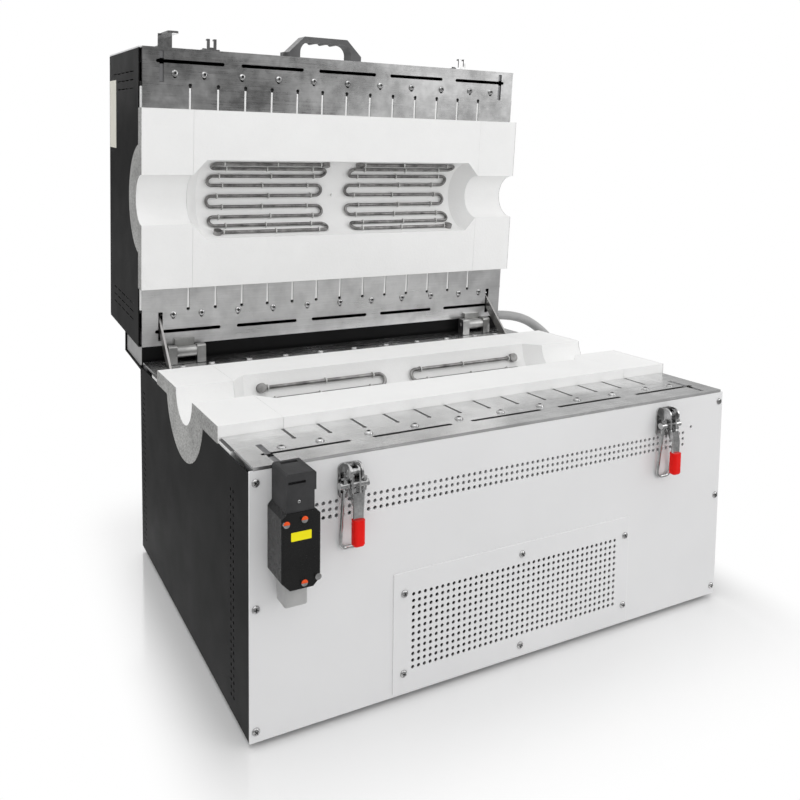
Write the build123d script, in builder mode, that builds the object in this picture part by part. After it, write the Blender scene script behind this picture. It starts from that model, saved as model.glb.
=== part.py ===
from build123d import *
from math import cos, pi, radians, sin, tan
import os

# Split tube furnace for the bench, with its lid swung open on two rear hinges.
# Millimetres, +Z up, +Y towards the hinges. The origin is under the middle of the open furnace.

# Overall sizes
furnace_width = 650.0
base_depth = 454.0
panel_height = 270.0
foot_height = 6.0
foot_radius = 16.0
foot_inset = 40.0
lid_height = 216.0
lid_setback = 10.7
lid_panel_start = 3.5
cover_rounding = 3.0
open_angle = 86.4

# Sheet metal
sheet = 1.5
panel_thickness = 2.0
plate_thickness = 2.0
rail_reach = 37.5
rail_drop = 24.0
front_web_drop = 58.0
post_width = 20.0
edge_gap = 0.3
plate_lip_width = 1.5
plate_lip_drop = 1.3

# Insulation, its depths measured from the face where the two halves meet
parting_gap = 0.5
ceramic_width = 258.0
ceramic_front_inset = 95.5
ceramic_proud = 12.0
ceramic_depth = 75.0
backing_depth = 115.0
backing_wall = 36.5
end_block_length = 75.0
bore_radius = 36.0
chamber_radius = 57.5
chamber_flare = 20.0
end_plug_radius = 79.7

# Heat plates beside the insulation
plate_inset = 4.0
slit_pitch = 41.9
slit_shift = -1.2
slit_count = 13
slit_length = 34.0
slit_width = 3.6
slit_end_radius = 2.6
packing_width = 2.8
packing_sunk = 0.6
long_slot_reach = 66.0
long_slot_length = 100.0
long_slot_width = 5.0
long_slot_pitch = 126.0
long_slot_count = 5
rail_slot_margin = 1.5
bolt_reach_base = 54.0
bolt_reach_lid = 45.5
bolt_middle_columns = (0.0, 58.3, 116.7, 174.5)
bolt_end_insets = (93.0, 50.0)
bolt_radius = 2.5
bolt_head_radius = 5.0
bolt_head_height = 3.0
bolt_socket_radius = 1.8
bolt_socket_floor = 1.4
bolt_length = 9.0
bolt_clearance = 0.15
stay_inset = 31.0
stay_slot_width = 6.5
stay_slot_start = 37.0
stay_slot_end_base = 90.0
stay_slot_end_lid = 80.0

# Heating elements
element_radius = 2.5
element_wall_gap = 0.6
element_passes = 9
element_first_angle = 20.0
element_inner_end = 22.0
element_end_gap = 15.0
terminal_radius = 6.5
terminal_height = 6.5
terminal_sunk = 0.2
tail_depth = 22.0
staple_wire = 0.9
staple_clearance = 0.1
staple_legs = 4.0
staple_shares_even = (0.09, 0.47, 0.91)
staple_shares_odd = (0.13, 0.53, 0.87)
thermocouple_radius = 2.2
thermocouple_reach = 6.0
thermocouple_head_radius = 11.0
thermocouple_head_length = 25.0

# Hinges and stay bars
hinge_inset = 5.5
hinge_end_inset = 66.0
hinge_width = 56.0
knuckle_width = 13.0
knuckle_front = 9.0
knuckle_rear = 5.4
knuckle_rise = 10.2
knuckle_rounding = 3.5
barrel_radius = 8.8
neck_front = 9.5
pin_radius = 3.0
pin_end = 1.5
pin_clearance = 0.05
lid_edge_ahead = 7.8
stay_pivot_reach = 42.2
stay_pivot_inside = 18.0
stay_length = 112.0
stay_width = 14.0
stay_thickness = 3.0
stay_pin_radius = 3.0
stay_pin_length = 18.0
stay_lean = 45.0

# Toggle clamps
clamp_end_inset = 106.0
clamp_pivot_height = 262.5
clamp_pivot_reach = 9.0
clamp_plate_width = 27.0
clamp_plate_bottom = 234.0
clamp_plate_top = 270.0
clamp_plate_thickness = 2.0
clamp_plate_rounding = 6.0
clamp_rivet_radius = 2.6
clamp_rivet_step = 6.0
clamp_rivet_rise = 6.0
clamp_rivet_height = 1.2
ear_thickness = 1.7
ear_gap = 11.4
ear_radius = 8.5
pin_head = 0.2
crossbar_drop = 12.5
crossbar_ahead = 1.0
crossbar_radius = 3.6
crossbar_neck_radius = 2.8
crossbar_length = 32.0
ubolt_wire_radius = 2.0
ubolt_length = 67.5
ubolt_corner = 7.0
ubolt_nut_radius = 3.4
ubolt_nut_height = 3.0
ubolt_nut_gap = 3.7
ubolt_thread = 7.3
ubolt_clearance = 0.4
ubolt_hang = 6.4
cheek_thickness = 2.0
cheek_radius = 6.0
crossbar_eye = 4.0
lever_bend = 12.0
lever_width = 10.6
lever_strip = 2.5
lever_reach = 12.0
grip_width = 13.0
grip_length = 27.0
grip_thickness = 10.0
grip_bottom = 191.0
grip_rounding = 4.0
grip_end_rounding = 3.5

# Safety switch
switch_end_inset = 37.5
switch_width = 39.5
switch_depth = 38.0
switch_bottom = 172.5
switch_top = 246.0
switch_low_corner = 8.0
switch_high_corner = 5.0
switch_rounding = 2.5
switch_head_width = 30.0
switch_head_inset = 1.0
switch_head_height = 36.5
switch_head_step = 18.5
switch_head_step_width = 1.8
switch_screw_radius = 3.2
switch_screw_height = 2.2
switch_screw_margin = 0.5
switch_screw_shift = 2.0
switch_screw_drops = (9.0, 7.0)
switch_screw_rises = (6.0, 9.0)
key_slot_depth = 22.0
key_slot_reach = 7.0
front_slot_drop = 10.0
front_slot_shift = 4.4
front_slot_height = 2.6
front_slot_depth = 5.0
plug_width = 24.0
plug_depth = 22.0
plug_length = 24.0
plug_rounding = 3.0
plug_end_rounding = 2.5
plug_reach = 15.0
key_width = 15.0
key_thickness = 3.0
key_clearance = 1.2
key_tip_chamfer = 3.0
key_reach = 17.0
key_foot = 7.0
key_bracket_width = 20.0
key_bracket_height = 22.0
key_bracket_sheet = 2.5

# Vents, access panel and screws
vent_pitch = 7.28
vent_columns = 71
vent_rows = 3
vent_row_pitch = 7.4
vent_radius = 2.1
vent_height = 224.1
lone_vent_inset = 56.2
lone_vent_rise = 13.5
access_width = 332.0
access_height = 131.0
access_bottom = 9.5
access_thickness = 1.2
perforation_columns = 40
perforation_rows = 12
perforation_shift = 0.6
perforation_pitch_x = 7.31
perforation_pitch_z = 7.31
perforation_bottom = 34.2
front_screw_inset = 6.5
front_screw_heights = (17.0, 140.0, 264.3)
access_screw_inset = 9.7
access_screw_shift = 3.0
access_screw_rise = 20.2
access_screw_drop = 23.0
access_screw_middle = 1.5
access_screw_middle_rise = 10.4
access_screw_middle_drop = 12.9
access_window_margin = 20.0
screw_recess_radius = 1.6
screw_recess_depth = 1.2
screw_radius = 2.0
screw_head_radius = 4.2
screw_head_height = 2.2
screw_length = 7.0
side_vent_pitch = 8.0
side_vent_rows = 28
side_vent_radius = 1.85
side_vent_rear_start = 70.0
side_vent_bottom = 24.0
side_vent_columns = (46.0, 54.0)
louvre_length = 22.0
louvre_width = 1.8
louvre_inset = 45.0
louvre_pitch = (12.0, 30.0)
louvre_counts = (3, 5)

# Lid fittings
handle_width = 131.5
handle_height = 41.0
handle_shoulder = 15.0
handle_depth = 26.0
handle_flat = 77.5
handle_bar = 8.0
handle_leg = 19.5
handle_opening_radius = 17.0
handle_ridge_radius = 4.5
handle_ridge_rise = 0.45
handle_ridge_pitch = 19.0
handle_lug = 5.0
handle_level = 96.0
hook_reach = 17.0
hook_width = 14.0
hook_notch = 6.0
hook_level = 7.4
hook_sheet = 2.5
hook_lip = 7.0
hook_plate_width = 24.0
hook_plate_height = 26.0
duct_depth = 36.0
duct_height = 118.0
duct_inset = 4.0
duct_end_inset = 3.0

# Power glands and terminal block at the rear of the base
power_gland_columns = (-265.0, -215.0)
power_gland_height = 51.0
power_gland_bore = 5.5
terminal_width = 120.0
terminal_depth = 30.0
terminal_rise = 22.0
terminal_setback = 60.0
terminal_pitch = 20.0
terminal_pocket = 12.0
terminal_pocket_depth = 8.0
terminal_screw_radius = 4.0
rear_vent_pitch = (24.0, 14.0)
rear_vent_counts = (17, 4)
rear_vent_size = (18.0, 4.0)
rear_vent_height = 168.0

# Wiring conduit between the two halves, and its glands
conduit_radius = 8.5
gland_radius = 12.5
gland_step = 4.0
gland_length = 18.0
gland_thread = 8.0
gland_nut_share = 0.45
lid_gland_depth = 14.8
lid_gland_level = 54.0
base_gland_y = 82.0
base_gland_z = 124.0
conduit_gap = 0.4
conduit_bend_share = 0.45
conduit_bends = [
    (401.0, 197.0, 288.9),
    (454.0, 176.0, 258.0),
    (475.0, 140.0, 206.0),
    (455.0, 104.0, 155.0),
    (403.0, 82.0, 124.0),
]

# Places that follow from the sizes above
BASE, LID = -1, 1
half_width = furnace_width / 2
chamber_reach = half_width - end_block_length - chamber_flare
element_outer_end = chamber_reach - element_end_gap
bolt_columns = bolt_middle_columns + tuple(half_width - inset for inset in bolt_end_insets)
stay_column = half_width - stay_inset
hinge_column = half_width - hinge_end_inset
clamp_column = half_width - clamp_end_inset
switch_column = switch_end_inset - half_width
plate_top = foot_height + panel_height + 3.5
hinge_z = plate_top + ceramic_proud + parting_gap / 2
lid_top = hinge_z + parting_gap / 2 + ceramic_proud + lid_height
hinge_from_front = base_depth - hinge_inset
rear_reach = hinge_from_front + sin(radians(open_angle)) * (lid_top - hinge_z)
front_reach = switch_depth + switch_screw_height
front_y = -(rear_reach - front_reach) / 2
rear_y = front_y + base_depth
hinge_y = front_y + hinge_from_front
lid_front_y = front_y + lid_setback
lid_rear_y = hinge_y - lid_edge_ahead
ceramic_front_y = front_y + ceramic_front_inset
ceramic_back_y = ceramic_front_y + ceramic_width
bore_y = (ceramic_front_y + ceramic_back_y) / 2
inner_x = half_width - sheet
hinge_axis = Axis((0, hinge_y, hinge_z), (1, 0, 0))
panel_top = foot_height + panel_height
side_top_depth = ceramic_proud + 6.5
element_line = chamber_radius - element_wall_gap - element_radius

os.makedirs("parts", exist_ok=True)


def opened(y, z):
    """Where a point of the shut lid, given by its y and z, is with the lid open."""
    back, up = y - hinge_y, z - hinge_z
    turned = radians(open_angle)
    return hinge_y + back * cos(turned) + up * sin(turned), hinge_z - back * sin(turned) + up * cos(turned)


def level(half, depth):
    """Height of a plane that lies depth behind the meeting face of the base or the lid."""
    return hinge_z + half * (parting_gap / 2 + depth)


def slab(x, y, z, mode=Mode.ADD):
    """A box between two x, two y and two z values."""
    with Locations(((x[0] + x[1]) / 2, (y[0] + y[1]) / 2, (z[0] + z[1]) / 2)):
        return Box(abs(x[1] - x[0]), abs(y[1] - y[0]), abs(z[1] - z[0]), mode=mode)


def rod(start, end, radius, mode=Mode.ADD):
    """A round bar between two points."""
    start, end = Vector(*start), Vector(*end)
    with Locations(Plane(origin=start, z_dir=end - start)):
        return Cylinder(radius, (end - start).length, align=(Align.CENTER, Align.CENTER, Align.MIN),
                        mode=mode)


def write(name, piece):
    """Labels a piece of the base and writes it."""
    piece.label = name
    export_step(piece, f"parts/{name}.step")


def write_lid(name, piece):
    """Swings a piece of the lid open about the hinges, then labels and writes it."""
    write(name, piece.rotate(hinge_axis, -open_angle))


def mirrored_columns(columns):
    """Each column and its mirror image, with the middle one once."""
    return sorted({side * column for column in columns for side in (-1, 1)})


def plate_edges(half):
    """The outer edges, in y, of a half's front and rear heat plates."""
    if half == BASE:
        return front_y, rear_y
    return lid_front_y, lid_rear_y


def bolt_reach(half):
    """How far outside the insulation the bolts of a half's plates stand."""
    return bolt_reach_base if half == BASE else bolt_reach_lid


def row_y(row, reach):
    """The y of a line that lies reach outside the insulation, on the front or rear plate."""
    return ceramic_front_y - reach if row == 0 else ceramic_back_y + reach


# Casing of the base
with BuildPart() as base_tray:
    tray_x = inner_x - edge_gap
    slab((-tray_x, tray_x), (front_y + panel_thickness + edge_gap, rear_y - sheet - edge_gap),
         (foot_height, foot_height + sheet))
    for side in (-1, 1):
        slab((side * tray_x, side * (tray_x - sheet)),
             (front_y + panel_thickness + edge_gap, rear_y - sheet - edge_gap),
             (foot_height, foot_height + post_width))
    with Locations((0, front_y + base_depth / 2, foot_height)):
        with GridLocations(2 * (half_width - foot_inset), base_depth - 2 * foot_inset, 2, 2):
            Hole(bolt_radius + bolt_clearance)
write("base_tray", base_tray.part)

with BuildPart() as base_feet:
    with Locations((0, front_y + base_depth / 2, 0)):
        with GridLocations(2 * (half_width - foot_inset), base_depth - 2 * foot_inset, 2, 2):
            Cylinder(foot_radius, foot_height, align=(Align.CENTER, Align.CENTER, Align.MIN))
            Cylinder(bolt_radius, foot_height + 3 * sheet, align=(Align.CENTER, Align.CENTER, Align.MIN))
write("base_feet", base_feet.part)


def top_frame(half):
    """The rails that carry the heat plates, with corner posts down to the tray or up to the cover."""
    outer_front, outer_rear = plate_edges(half)
    under = level(half, ceramic_proud + plate_thickness)
    inside_front = outer_front + panel_thickness + edge_gap
    inside_rear = outer_rear - sheet - edge_gap
    far = foot_height + sheet if half == BASE else lid_top - sheet - edge_gap
    rail_x = inner_x - 3 * edge_gap - sheet
    front_drop = front_web_drop if half == BASE else rail_drop
    with BuildPart() as frame:
        slab((-rail_x, rail_x), (inside_front, row_y(0, rail_reach)), (under, under + half * sheet))
        slab((-rail_x, rail_x), (inside_front, inside_front + sheet), (under, under + half * front_drop))
        slab((-rail_x, rail_x), (inside_rear, row_y(1, rail_reach)), (under, under + half * sheet))
        slab((-rail_x, rail_x), (inside_rear, inside_rear - sheet), (under, under + half * rail_drop))
        for side in (-1, 1):
            for wall, inward in ((inside_front, 1), (inside_rear, -1)):
                slab((side * rail_x, side * (rail_x - post_width)), (wall, wall + inward * sheet),
                     (under, far))
                slab((side * rail_x, side * (rail_x - sheet)), (wall, wall + inward * post_width),
                     (under, far))
        for row in (0, 1):
            for column in mirrored_columns(bolt_columns):
                with Locations((column, row_y(row, bolt_reach(half)), under)):
                    Cylinder(bolt_radius + bolt_clearance, 4 * sheet, mode=Mode.SUBTRACT)
            for i in range(long_slot_count):
                middle = (i - (long_slot_count - 1) / 2) * long_slot_pitch
                reach = long_slot_length / 2 + rail_slot_margin
                slab((middle - reach, middle + reach),
                     (row_y(row, long_slot_reach - long_slot_width / 2 - rail_slot_margin),
                      row_y(row, long_slot_reach + long_slot_width / 2 + rail_slot_margin)),
                     (under - half, under + half * (sheet + 1)), mode=Mode.SUBTRACT)
        for side in (-1, 1):
            slab((side * (stay_column - stay_slot_width), side * (stay_column + stay_slot_width)),
                 (row_y(1, rail_reach - 1), row_y(1, stay_slot_end_base + 1)),
                 (under - half, under + half * (sheet + 1)), mode=Mode.SUBTRACT)
    return frame.part


def heat_plate(half, row):
    """One stainless plate: expansion slits from its inner edge, long slots, stay slots and bolt holes."""
    inner = row_y(row, edge_gap)
    outer = plate_edges(half)[row]
    face = level(half, ceramic_proud)
    stay_slot_end = stay_slot_end_base if half == BASE else stay_slot_end_lid
    plate_x = half_width - plate_inset
    slot_rows = row_y(row, long_slot_reach)
    slit_end = row_y(row, slit_length)
    with BuildPart() as plate:
        with BuildSketch(Plane.XY.offset(face)):
            with Locations((0, (inner + outer) / 2)):
                Rectangle(2 * plate_x, abs(outer - inner))
            with Locations((slit_shift, (inner + slit_end) / 2)):
                with GridLocations(slit_pitch, 1, slit_count, 1):
                    Rectangle(slit_width, abs(slit_end - inner), mode=Mode.SUBTRACT)
            with Locations((slit_shift, slit_end)):
                with GridLocations(slit_pitch, 1, slit_count, 1):
                    Circle(slit_end_radius, mode=Mode.SUBTRACT)
            with Locations((0, slot_rows)):
                with GridLocations(long_slot_pitch, 1, long_slot_count, 1):
                    SlotOverall(long_slot_length, long_slot_width, mode=Mode.SUBTRACT)
            line = row_y(row, bolt_reach(half))
            with Locations(*[(column, line) for column in mirrored_columns(bolt_columns)]):
                Circle(bolt_radius + bolt_clearance, mode=Mode.SUBTRACT)
            with Locations((0, row_y(row, (stay_slot_start + stay_slot_end) / 2))):
                with GridLocations(2 * stay_column, 1, 2, 1):
                    Rectangle(stay_slot_width, stay_slot_end - stay_slot_start, mode=Mode.SUBTRACT)
        extrude(amount=half * plate_thickness)
        inward = 1 if row == 0 else -1
        slab((-plate_x, plate_x), (outer, outer + inward * plate_lip_width),
             (face, face + half * (plate_thickness + plate_lip_drop)))
    return plate.part


def plate_bolts(half):
    """The button-head bolts that hold a half's two heat plates to its rails."""
    face = level(half, ceramic_proud)
    outward, inward = (Align.MIN, Align.MAX) if half == BASE else (Align.MAX, Align.MIN)
    places = [(column, row_y(row, bolt_reach(half)))
              for row in (0, 1) for column in mirrored_columns(bolt_columns)]
    with BuildPart() as bolts:
        with Locations(*[(x, y, face) for x, y in places]):
            Cylinder(bolt_head_radius, bolt_head_height, align=(Align.CENTER, Align.CENTER, outward))
            Cylinder(bolt_radius, bolt_length, align=(Align.CENTER, Align.CENTER, inward))
        with Locations(*[(x, y, face - half * bolt_socket_floor) for x, y in places]):
            Cylinder(bolt_socket_radius, bolt_head_height, align=(Align.CENTER, Align.CENTER, outward),
                     mode=Mode.SUBTRACT)
    return bolts.part


write("base_frame", top_frame(BASE))
write_lid("lid_frame", top_frame(LID))
write("base_front_plate", heat_plate(BASE, 0))
write("base_rear_plate", heat_plate(BASE, 1))
write_lid("lid_front_plate", heat_plate(LID, 0))
write_lid("lid_rear_plate", heat_plate(LID, 1))
write("base_plate_bolts", plate_bolts(BASE))
write_lid("lid_plate_bolts", plate_bolts(LID))

front_screw_places = [
    (side * (half_width - front_screw_inset), height) for side in (-1, 1) for height in front_screw_heights
]
access_top = access_bottom + access_height
access_screw_places = [
    (access_screw_shift + side * (access_width / 2 - access_screw_inset), height)
    for side in (-1, 1)
    for height in (access_bottom + access_screw_rise, access_top - access_screw_drop)
]
access_screw_places += [
    (access_screw_middle, access_bottom + access_screw_middle_rise),
    (access_screw_middle, access_top - access_screw_middle_drop),
]

with BuildPart() as base_front_panel:
    with BuildSketch(Plane.XZ.offset(-front_y)):
        with Locations((0, foot_height + panel_height / 2)):
            Rectangle(furnace_width, panel_height)
        with Locations((0, vent_height)):
            with GridLocations(vent_pitch, vent_row_pitch, vent_columns, vent_rows):
                Circle(vent_radius, mode=Mode.SUBTRACT)
        with Locations((half_width - lone_vent_inset, vent_height + lone_vent_rise)):
            Circle(vent_radius, mode=Mode.SUBTRACT)
        with Locations((0, access_bottom + access_height / 2)):
            Rectangle(access_width - 2 * access_window_margin, access_height - 2 * access_window_margin,
                      mode=Mode.SUBTRACT)
        with Locations(*front_screw_places, *access_screw_places):
            Circle(screw_radius + bolt_clearance, mode=Mode.SUBTRACT)
    extrude(amount=-panel_thickness)
write("base_front_panel", base_front_panel.part)

with BuildPart() as access_panel:
    with BuildSketch(Plane.XZ.offset(-front_y)):
        with Locations((0, access_bottom + access_height / 2)):
            Rectangle(access_width, access_height)
        with Locations((perforation_shift,
                        perforation_bottom + (perforation_rows - 1) * perforation_pitch_z / 2)):
            with GridLocations(perforation_pitch_x, perforation_pitch_z, perforation_columns,
                               perforation_rows):
                Circle(vent_radius, mode=Mode.SUBTRACT)
        with Locations(*access_screw_places):
            Circle(screw_radius + bolt_clearance, mode=Mode.SUBTRACT)
    extrude(amount=access_thickness)
write("access_panel", access_panel.part)

with BuildPart() as panel_screws:
    for places, face in ((front_screw_places, front_y), (access_screw_places, front_y - access_thickness)):
        for x, z in places:
            rod((x, face - screw_head_height, z), (x, face, z), screw_head_radius)
            rod((x, face - screw_head_height - 1, z), (x, face - screw_head_height + screw_recess_depth, z),
                screw_recess_radius, mode=Mode.SUBTRACT)
            rod((x, face, z), (x, face + screw_length, z), screw_radius)
write("panel_screws", panel_screws.part)


def side_panel(half, side):
    """A black side sheet with the half-round cut-out for the end block and its vents or louvres."""
    outer_front, outer_rear = plate_edges(half)
    near = level(half, side_top_depth)
    far = foot_height if half == BASE else lid_top - sheet - edge_gap
    bottom, top = sorted((near, far))
    front, rear = outer_front + panel_thickness + edge_gap, outer_rear - sheet - edge_gap
    with BuildPart() as panel:
        with BuildSketch(Plane.YZ.offset(side * half_width)):
            with Locations(((front + rear) / 2, (bottom + top) / 2)):
                Rectangle(rear - front, top - bottom)
            with Locations((bore_y, hinge_z)):
                Circle(end_plug_radius + edge_gap, mode=Mode.SUBTRACT)
            if half == BASE:
                middle = side_vent_bottom + (side_vent_rows - 1) * side_vent_pitch / 2
                for wall, inward in ((outer_front, 1), (outer_rear - side_vent_rear_start, 1)):
                    with Locations((wall + inward * sum(side_vent_columns) / 2, middle)):
                        with GridLocations(side_vent_columns[1] - side_vent_columns[0], side_vent_pitch,
                                           2, side_vent_rows):
                            Circle(side_vent_radius, mode=Mode.SUBTRACT)
                if side == 1:
                    with Locations((base_gland_y, base_gland_z)):
                        Circle(gland_radius - gland_step + bolt_clearance, mode=Mode.SUBTRACT)
            else:
                for wall in (outer_front + louvre_inset, outer_rear - louvre_inset):
                    with Locations((wall, (bottom + top) / 2)):
                        with GridLocations(*louvre_pitch, *louvre_counts):
                            SlotOverall(louvre_length, louvre_width, rotation=90, mode=Mode.SUBTRACT)
        extrude(amount=-side * sheet)
    return panel.part


write("base_left_panel", side_panel(BASE, -1))
write("base_right_panel", side_panel(BASE, 1))
write_lid("lid_left_panel", side_panel(LID, -1))
write_lid("lid_right_panel", side_panel(LID, 1))

with BuildPart() as base_rear_panel:
    with BuildSketch(Plane.XZ.offset(-rear_y)):
        with Locations((0, foot_height + panel_height / 2)):
            Rectangle(furnace_width, panel_height)
        with Locations((0, rear_vent_height)):
            with GridLocations(*rear_vent_pitch, *rear_vent_counts):
                SlotOverall(*rear_vent_size, mode=Mode.SUBTRACT)
        with Locations(*[(x, power_gland_height) for x in power_gland_columns]):
            Circle(gland_radius - gland_step + bolt_clearance, mode=Mode.SUBTRACT)
    extrude(amount=sheet)
write("base_rear_panel", base_rear_panel.part)

with BuildPart() as power_glands:
    for x in power_gland_columns:
        z = power_gland_height
        rod((x, rear_y, z), (x, rear_y + gland_length / 3, z), gland_radius)
        rod((x, rear_y + gland_length / 3, z), (x, rear_y + gland_length, z), gland_radius - gland_step / 2)
        rod((x, rear_y - sheet - gland_length / 2, z), (x, rear_y, z), gland_radius - gland_step)
        rod((x, rear_y - gland_length, z), (x, rear_y + gland_length + 1, z), power_gland_bore,
            mode=Mode.SUBTRACT)
write("power_glands", power_glands.part)


# Insulation
def bore_cut(x0, x1, radius):
    """Cuts a round channel along X, centred where the halves meet."""
    rod((x0, bore_y, hinge_z), (x1, bore_y, hinge_z), radius, mode=Mode.SUBTRACT)


def thermocouple_hole():
    """The hole behind the lid's chamber that the thermocouple stands in."""
    rod((0, bore_y, level(LID, 1)), (0, bore_y, level(LID, backing_depth + 1)),
        thermocouple_radius + bolt_clearance, mode=Mode.SUBTRACT)


def centre_block(half):
    """The middle ceramic block, with the half chamber and a short stretch of half bore at each end."""
    reach = half_width - end_block_length
    with BuildPart() as block:
        slab((-reach, reach), (ceramic_front_y, ceramic_back_y),
             (level(half, 0), level(half, ceramic_depth)))
        bore_cut(-reach - 1, reach + 1, bore_radius)
        bore_cut(-chamber_reach, chamber_reach, chamber_radius)
        for side in (-1, 1):
            with Locations(Plane(origin=(side * chamber_reach, bore_y, hinge_z), z_dir=(side, 0, 0))):
                Cone(chamber_radius, bore_radius, chamber_flare,
                     align=(Align.CENTER, Align.CENTER, Align.MIN),
                     mode=Mode.SUBTRACT)
        if half == LID:
            thermocouple_hole()
    return block.part


def end_blocks(half):
    """The two end blocks, whose round plugs fill the cut-outs of the side panels."""
    start = half_width - end_block_length + edge_gap
    shoulder = inner_x - edge_gap
    flush = half_width + edge_gap
    with BuildPart() as blocks:
        for side in (-1, 1):
            slab((side * start, side * shoulder), (ceramic_front_y, ceramic_back_y),
                 (level(half, 0), level(half, ceramic_depth)))
            slab((side * shoulder, side * flush), (ceramic_front_y, ceramic_back_y),
                 (level(half, 0), level(half, side_top_depth - edge_gap)))
            with BuildSketch(Plane.YZ.offset(side * shoulder)):
                with Locations((bore_y, hinge_z)):
                    Circle(end_plug_radius)
                    Rectangle(3 * end_plug_radius, 2 * end_plug_radius, mode=Mode.SUBTRACT,
                              align=(Align.CENTER, Align.MAX if half == LID else Align.MIN))
                with Locations((bore_y, level(half, 0))):
                    Rectangle(3 * end_plug_radius, end_plug_radius, mode=Mode.SUBTRACT,
                              align=(Align.CENTER, Align.MAX if half == LID else Align.MIN))
            extrude(amount=side * (flush - shoulder))
            bore_cut(side * (start - 1), side * (flush + 1), bore_radius)
    return blocks.part


def backing(half):
    """Backing boards behind the ceramic and the heat plates, with fibre packed into the plates' slits."""
    reach = inner_x - edge_gap
    behind_plate = ceramic_proud + plate_thickness + edge_gap
    packing_places = [slit_shift + (i - (slit_count - 1) / 2) * slit_pitch for i in range(slit_count)]
    with BuildPart() as boards:
        slab((-reach, reach), (ceramic_front_y, ceramic_back_y),
             (level(half, ceramic_depth + edge_gap), level(half, backing_depth)))
        for near, outward in ((ceramic_front_y - edge_gap, -1), (ceramic_back_y + edge_gap, 1)):
            slab((-reach, reach), (near, near + outward * backing_wall),
                 (level(half, behind_plate), level(half, backing_depth)))
            for x in packing_places:
                slab((x - packing_width / 2, x + packing_width / 2),
                     (near, near + outward * (slit_length - 1)),
                     (level(half, ceramic_proud + packing_sunk), level(half, behind_plate + 1)))
        if half == LID:
            thermocouple_hole()
    return boards.part


write("base_ceramic_centre", centre_block(BASE))
write_lid("lid_ceramic_centre", centre_block(LID))
write("base_ceramic_ends", end_blocks(BASE))
write_lid("lid_ceramic_ends", end_blocks(LID))
write("base_backing", backing(BASE))
write_lid("lid_backing", backing(LID))


# Heating elements, which lie on the wall of the chamber
pass_step = (180 - 2 * element_first_angle) / (element_passes - 1)


def wall_point(half, x, angle, radius):
    """A point at an angle round the half chamber, at a distance from its axis."""
    return Vector(x, bore_y + radius * cos(radians(angle)), hinge_z + half * radius * sin(radians(angle)))


def element(half, side):
    """A serpentine heating rod with a stud at each end that goes into the ceramic."""
    ends = (side * element_inner_end, side * element_outer_end)
    bend = element_line * sin(radians(pass_step / 2))
    straight = [ends[0] + side * bend, ends[1] - side * bend]
    angles = [element_first_angle + i * pass_step for i in range(element_passes)]
    with BuildPart() as heater:
        with BuildLine() as path:
            for i, angle in enumerate(angles):
                here = (i + 1) % 2
                start = wall_point(half, straight[here], angle, element_line)
                stop = wall_point(half, straight[1 - here], angle, element_line)
                Line(start, stop)
                if i + 1 < element_passes:
                    after = wall_point(half, straight[1 - here], angles[i + 1], element_line)
                    outward = side if here == 0 else -side
                    apex = (stop + after) / 2 + Vector(outward * (stop - after).length / 2, 0, 0)
                    ThreePointArc(stop, apex, after)
        with BuildSketch(Plane(origin=path.line @ 0, z_dir=path.line % 0)):
            Circle(element_radius)
        sweep(path=path.line)
        for angle, place in ((angles[0], path.line @ 0), (angles[-1], path.line @ 1)):
            outer = wall_point(half, place.X, angle, chamber_radius + tail_depth)
            wall = wall_point(half, place.X, angle, chamber_radius - terminal_sunk)
            top = wall_point(half, place.X, angle, chamber_radius - terminal_sunk - terminal_height)
            rod(wall, outer, element_radius)
            rod(top, wall, terminal_radius)
    return heater.part


def element_staples(half):
    """The small wire staples that hold the rods to the chamber wall."""
    inner = element_radius + staple_wire + staple_clearance
    with BuildPart() as staple:
        with BuildLine() as bow:
            reach = element_wall_gap + element_radius + staple_legs
            Line((0, -inner, reach), (0, -inner, 0))
            ThreePointArc((0, -inner, 0), (0, 0, -inner), (0, inner, 0))
            Line((0, inner, 0), (0, inner, reach))
        with BuildSketch(Plane(origin=bow.line @ 0, z_dir=bow.line % 0)):
            Circle(staple_wire)
        sweep(path=bow.line)
    span = element_outer_end - element_inner_end
    places = []
    for side in (-1, 1):
        for i in range(element_passes):
            angle = element_first_angle + i * pass_step
            for share in staple_shares_odd if i % 2 else staple_shares_even:
                x = side * (element_inner_end + share * span)
                centre = wall_point(half, x, angle, element_line)
                outward = wall_point(half, x, angle, element_line + 1) - centre
                places.append(Plane(origin=centre, x_dir=(1, 0, 0), z_dir=outward).location)
    with BuildPart() as staples:
        with Locations(*places):
            add(staple.part)
    return staples.part


for half, prefix, put in ((BASE, "base", write), (LID, "lid", write_lid)):
    put(f"{prefix}_element_left", element(half, -1))
    put(f"{prefix}_element_right", element(half, 1))
    put(f"{prefix}_element_staples", element_staples(half))

with BuildPart() as lid_thermocouple:
    tip = level(LID, chamber_radius - thermocouple_reach)
    rod((0, bore_y, tip), (0, bore_y, level(LID, backing_depth + 1)), thermocouple_radius)
    rod((0, bore_y, level(LID, backing_depth)),
        (0, bore_y, level(LID, backing_depth + thermocouple_head_length)), thermocouple_head_radius)
write_lid("lid_thermocouple", lid_thermocouple.part)

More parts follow.
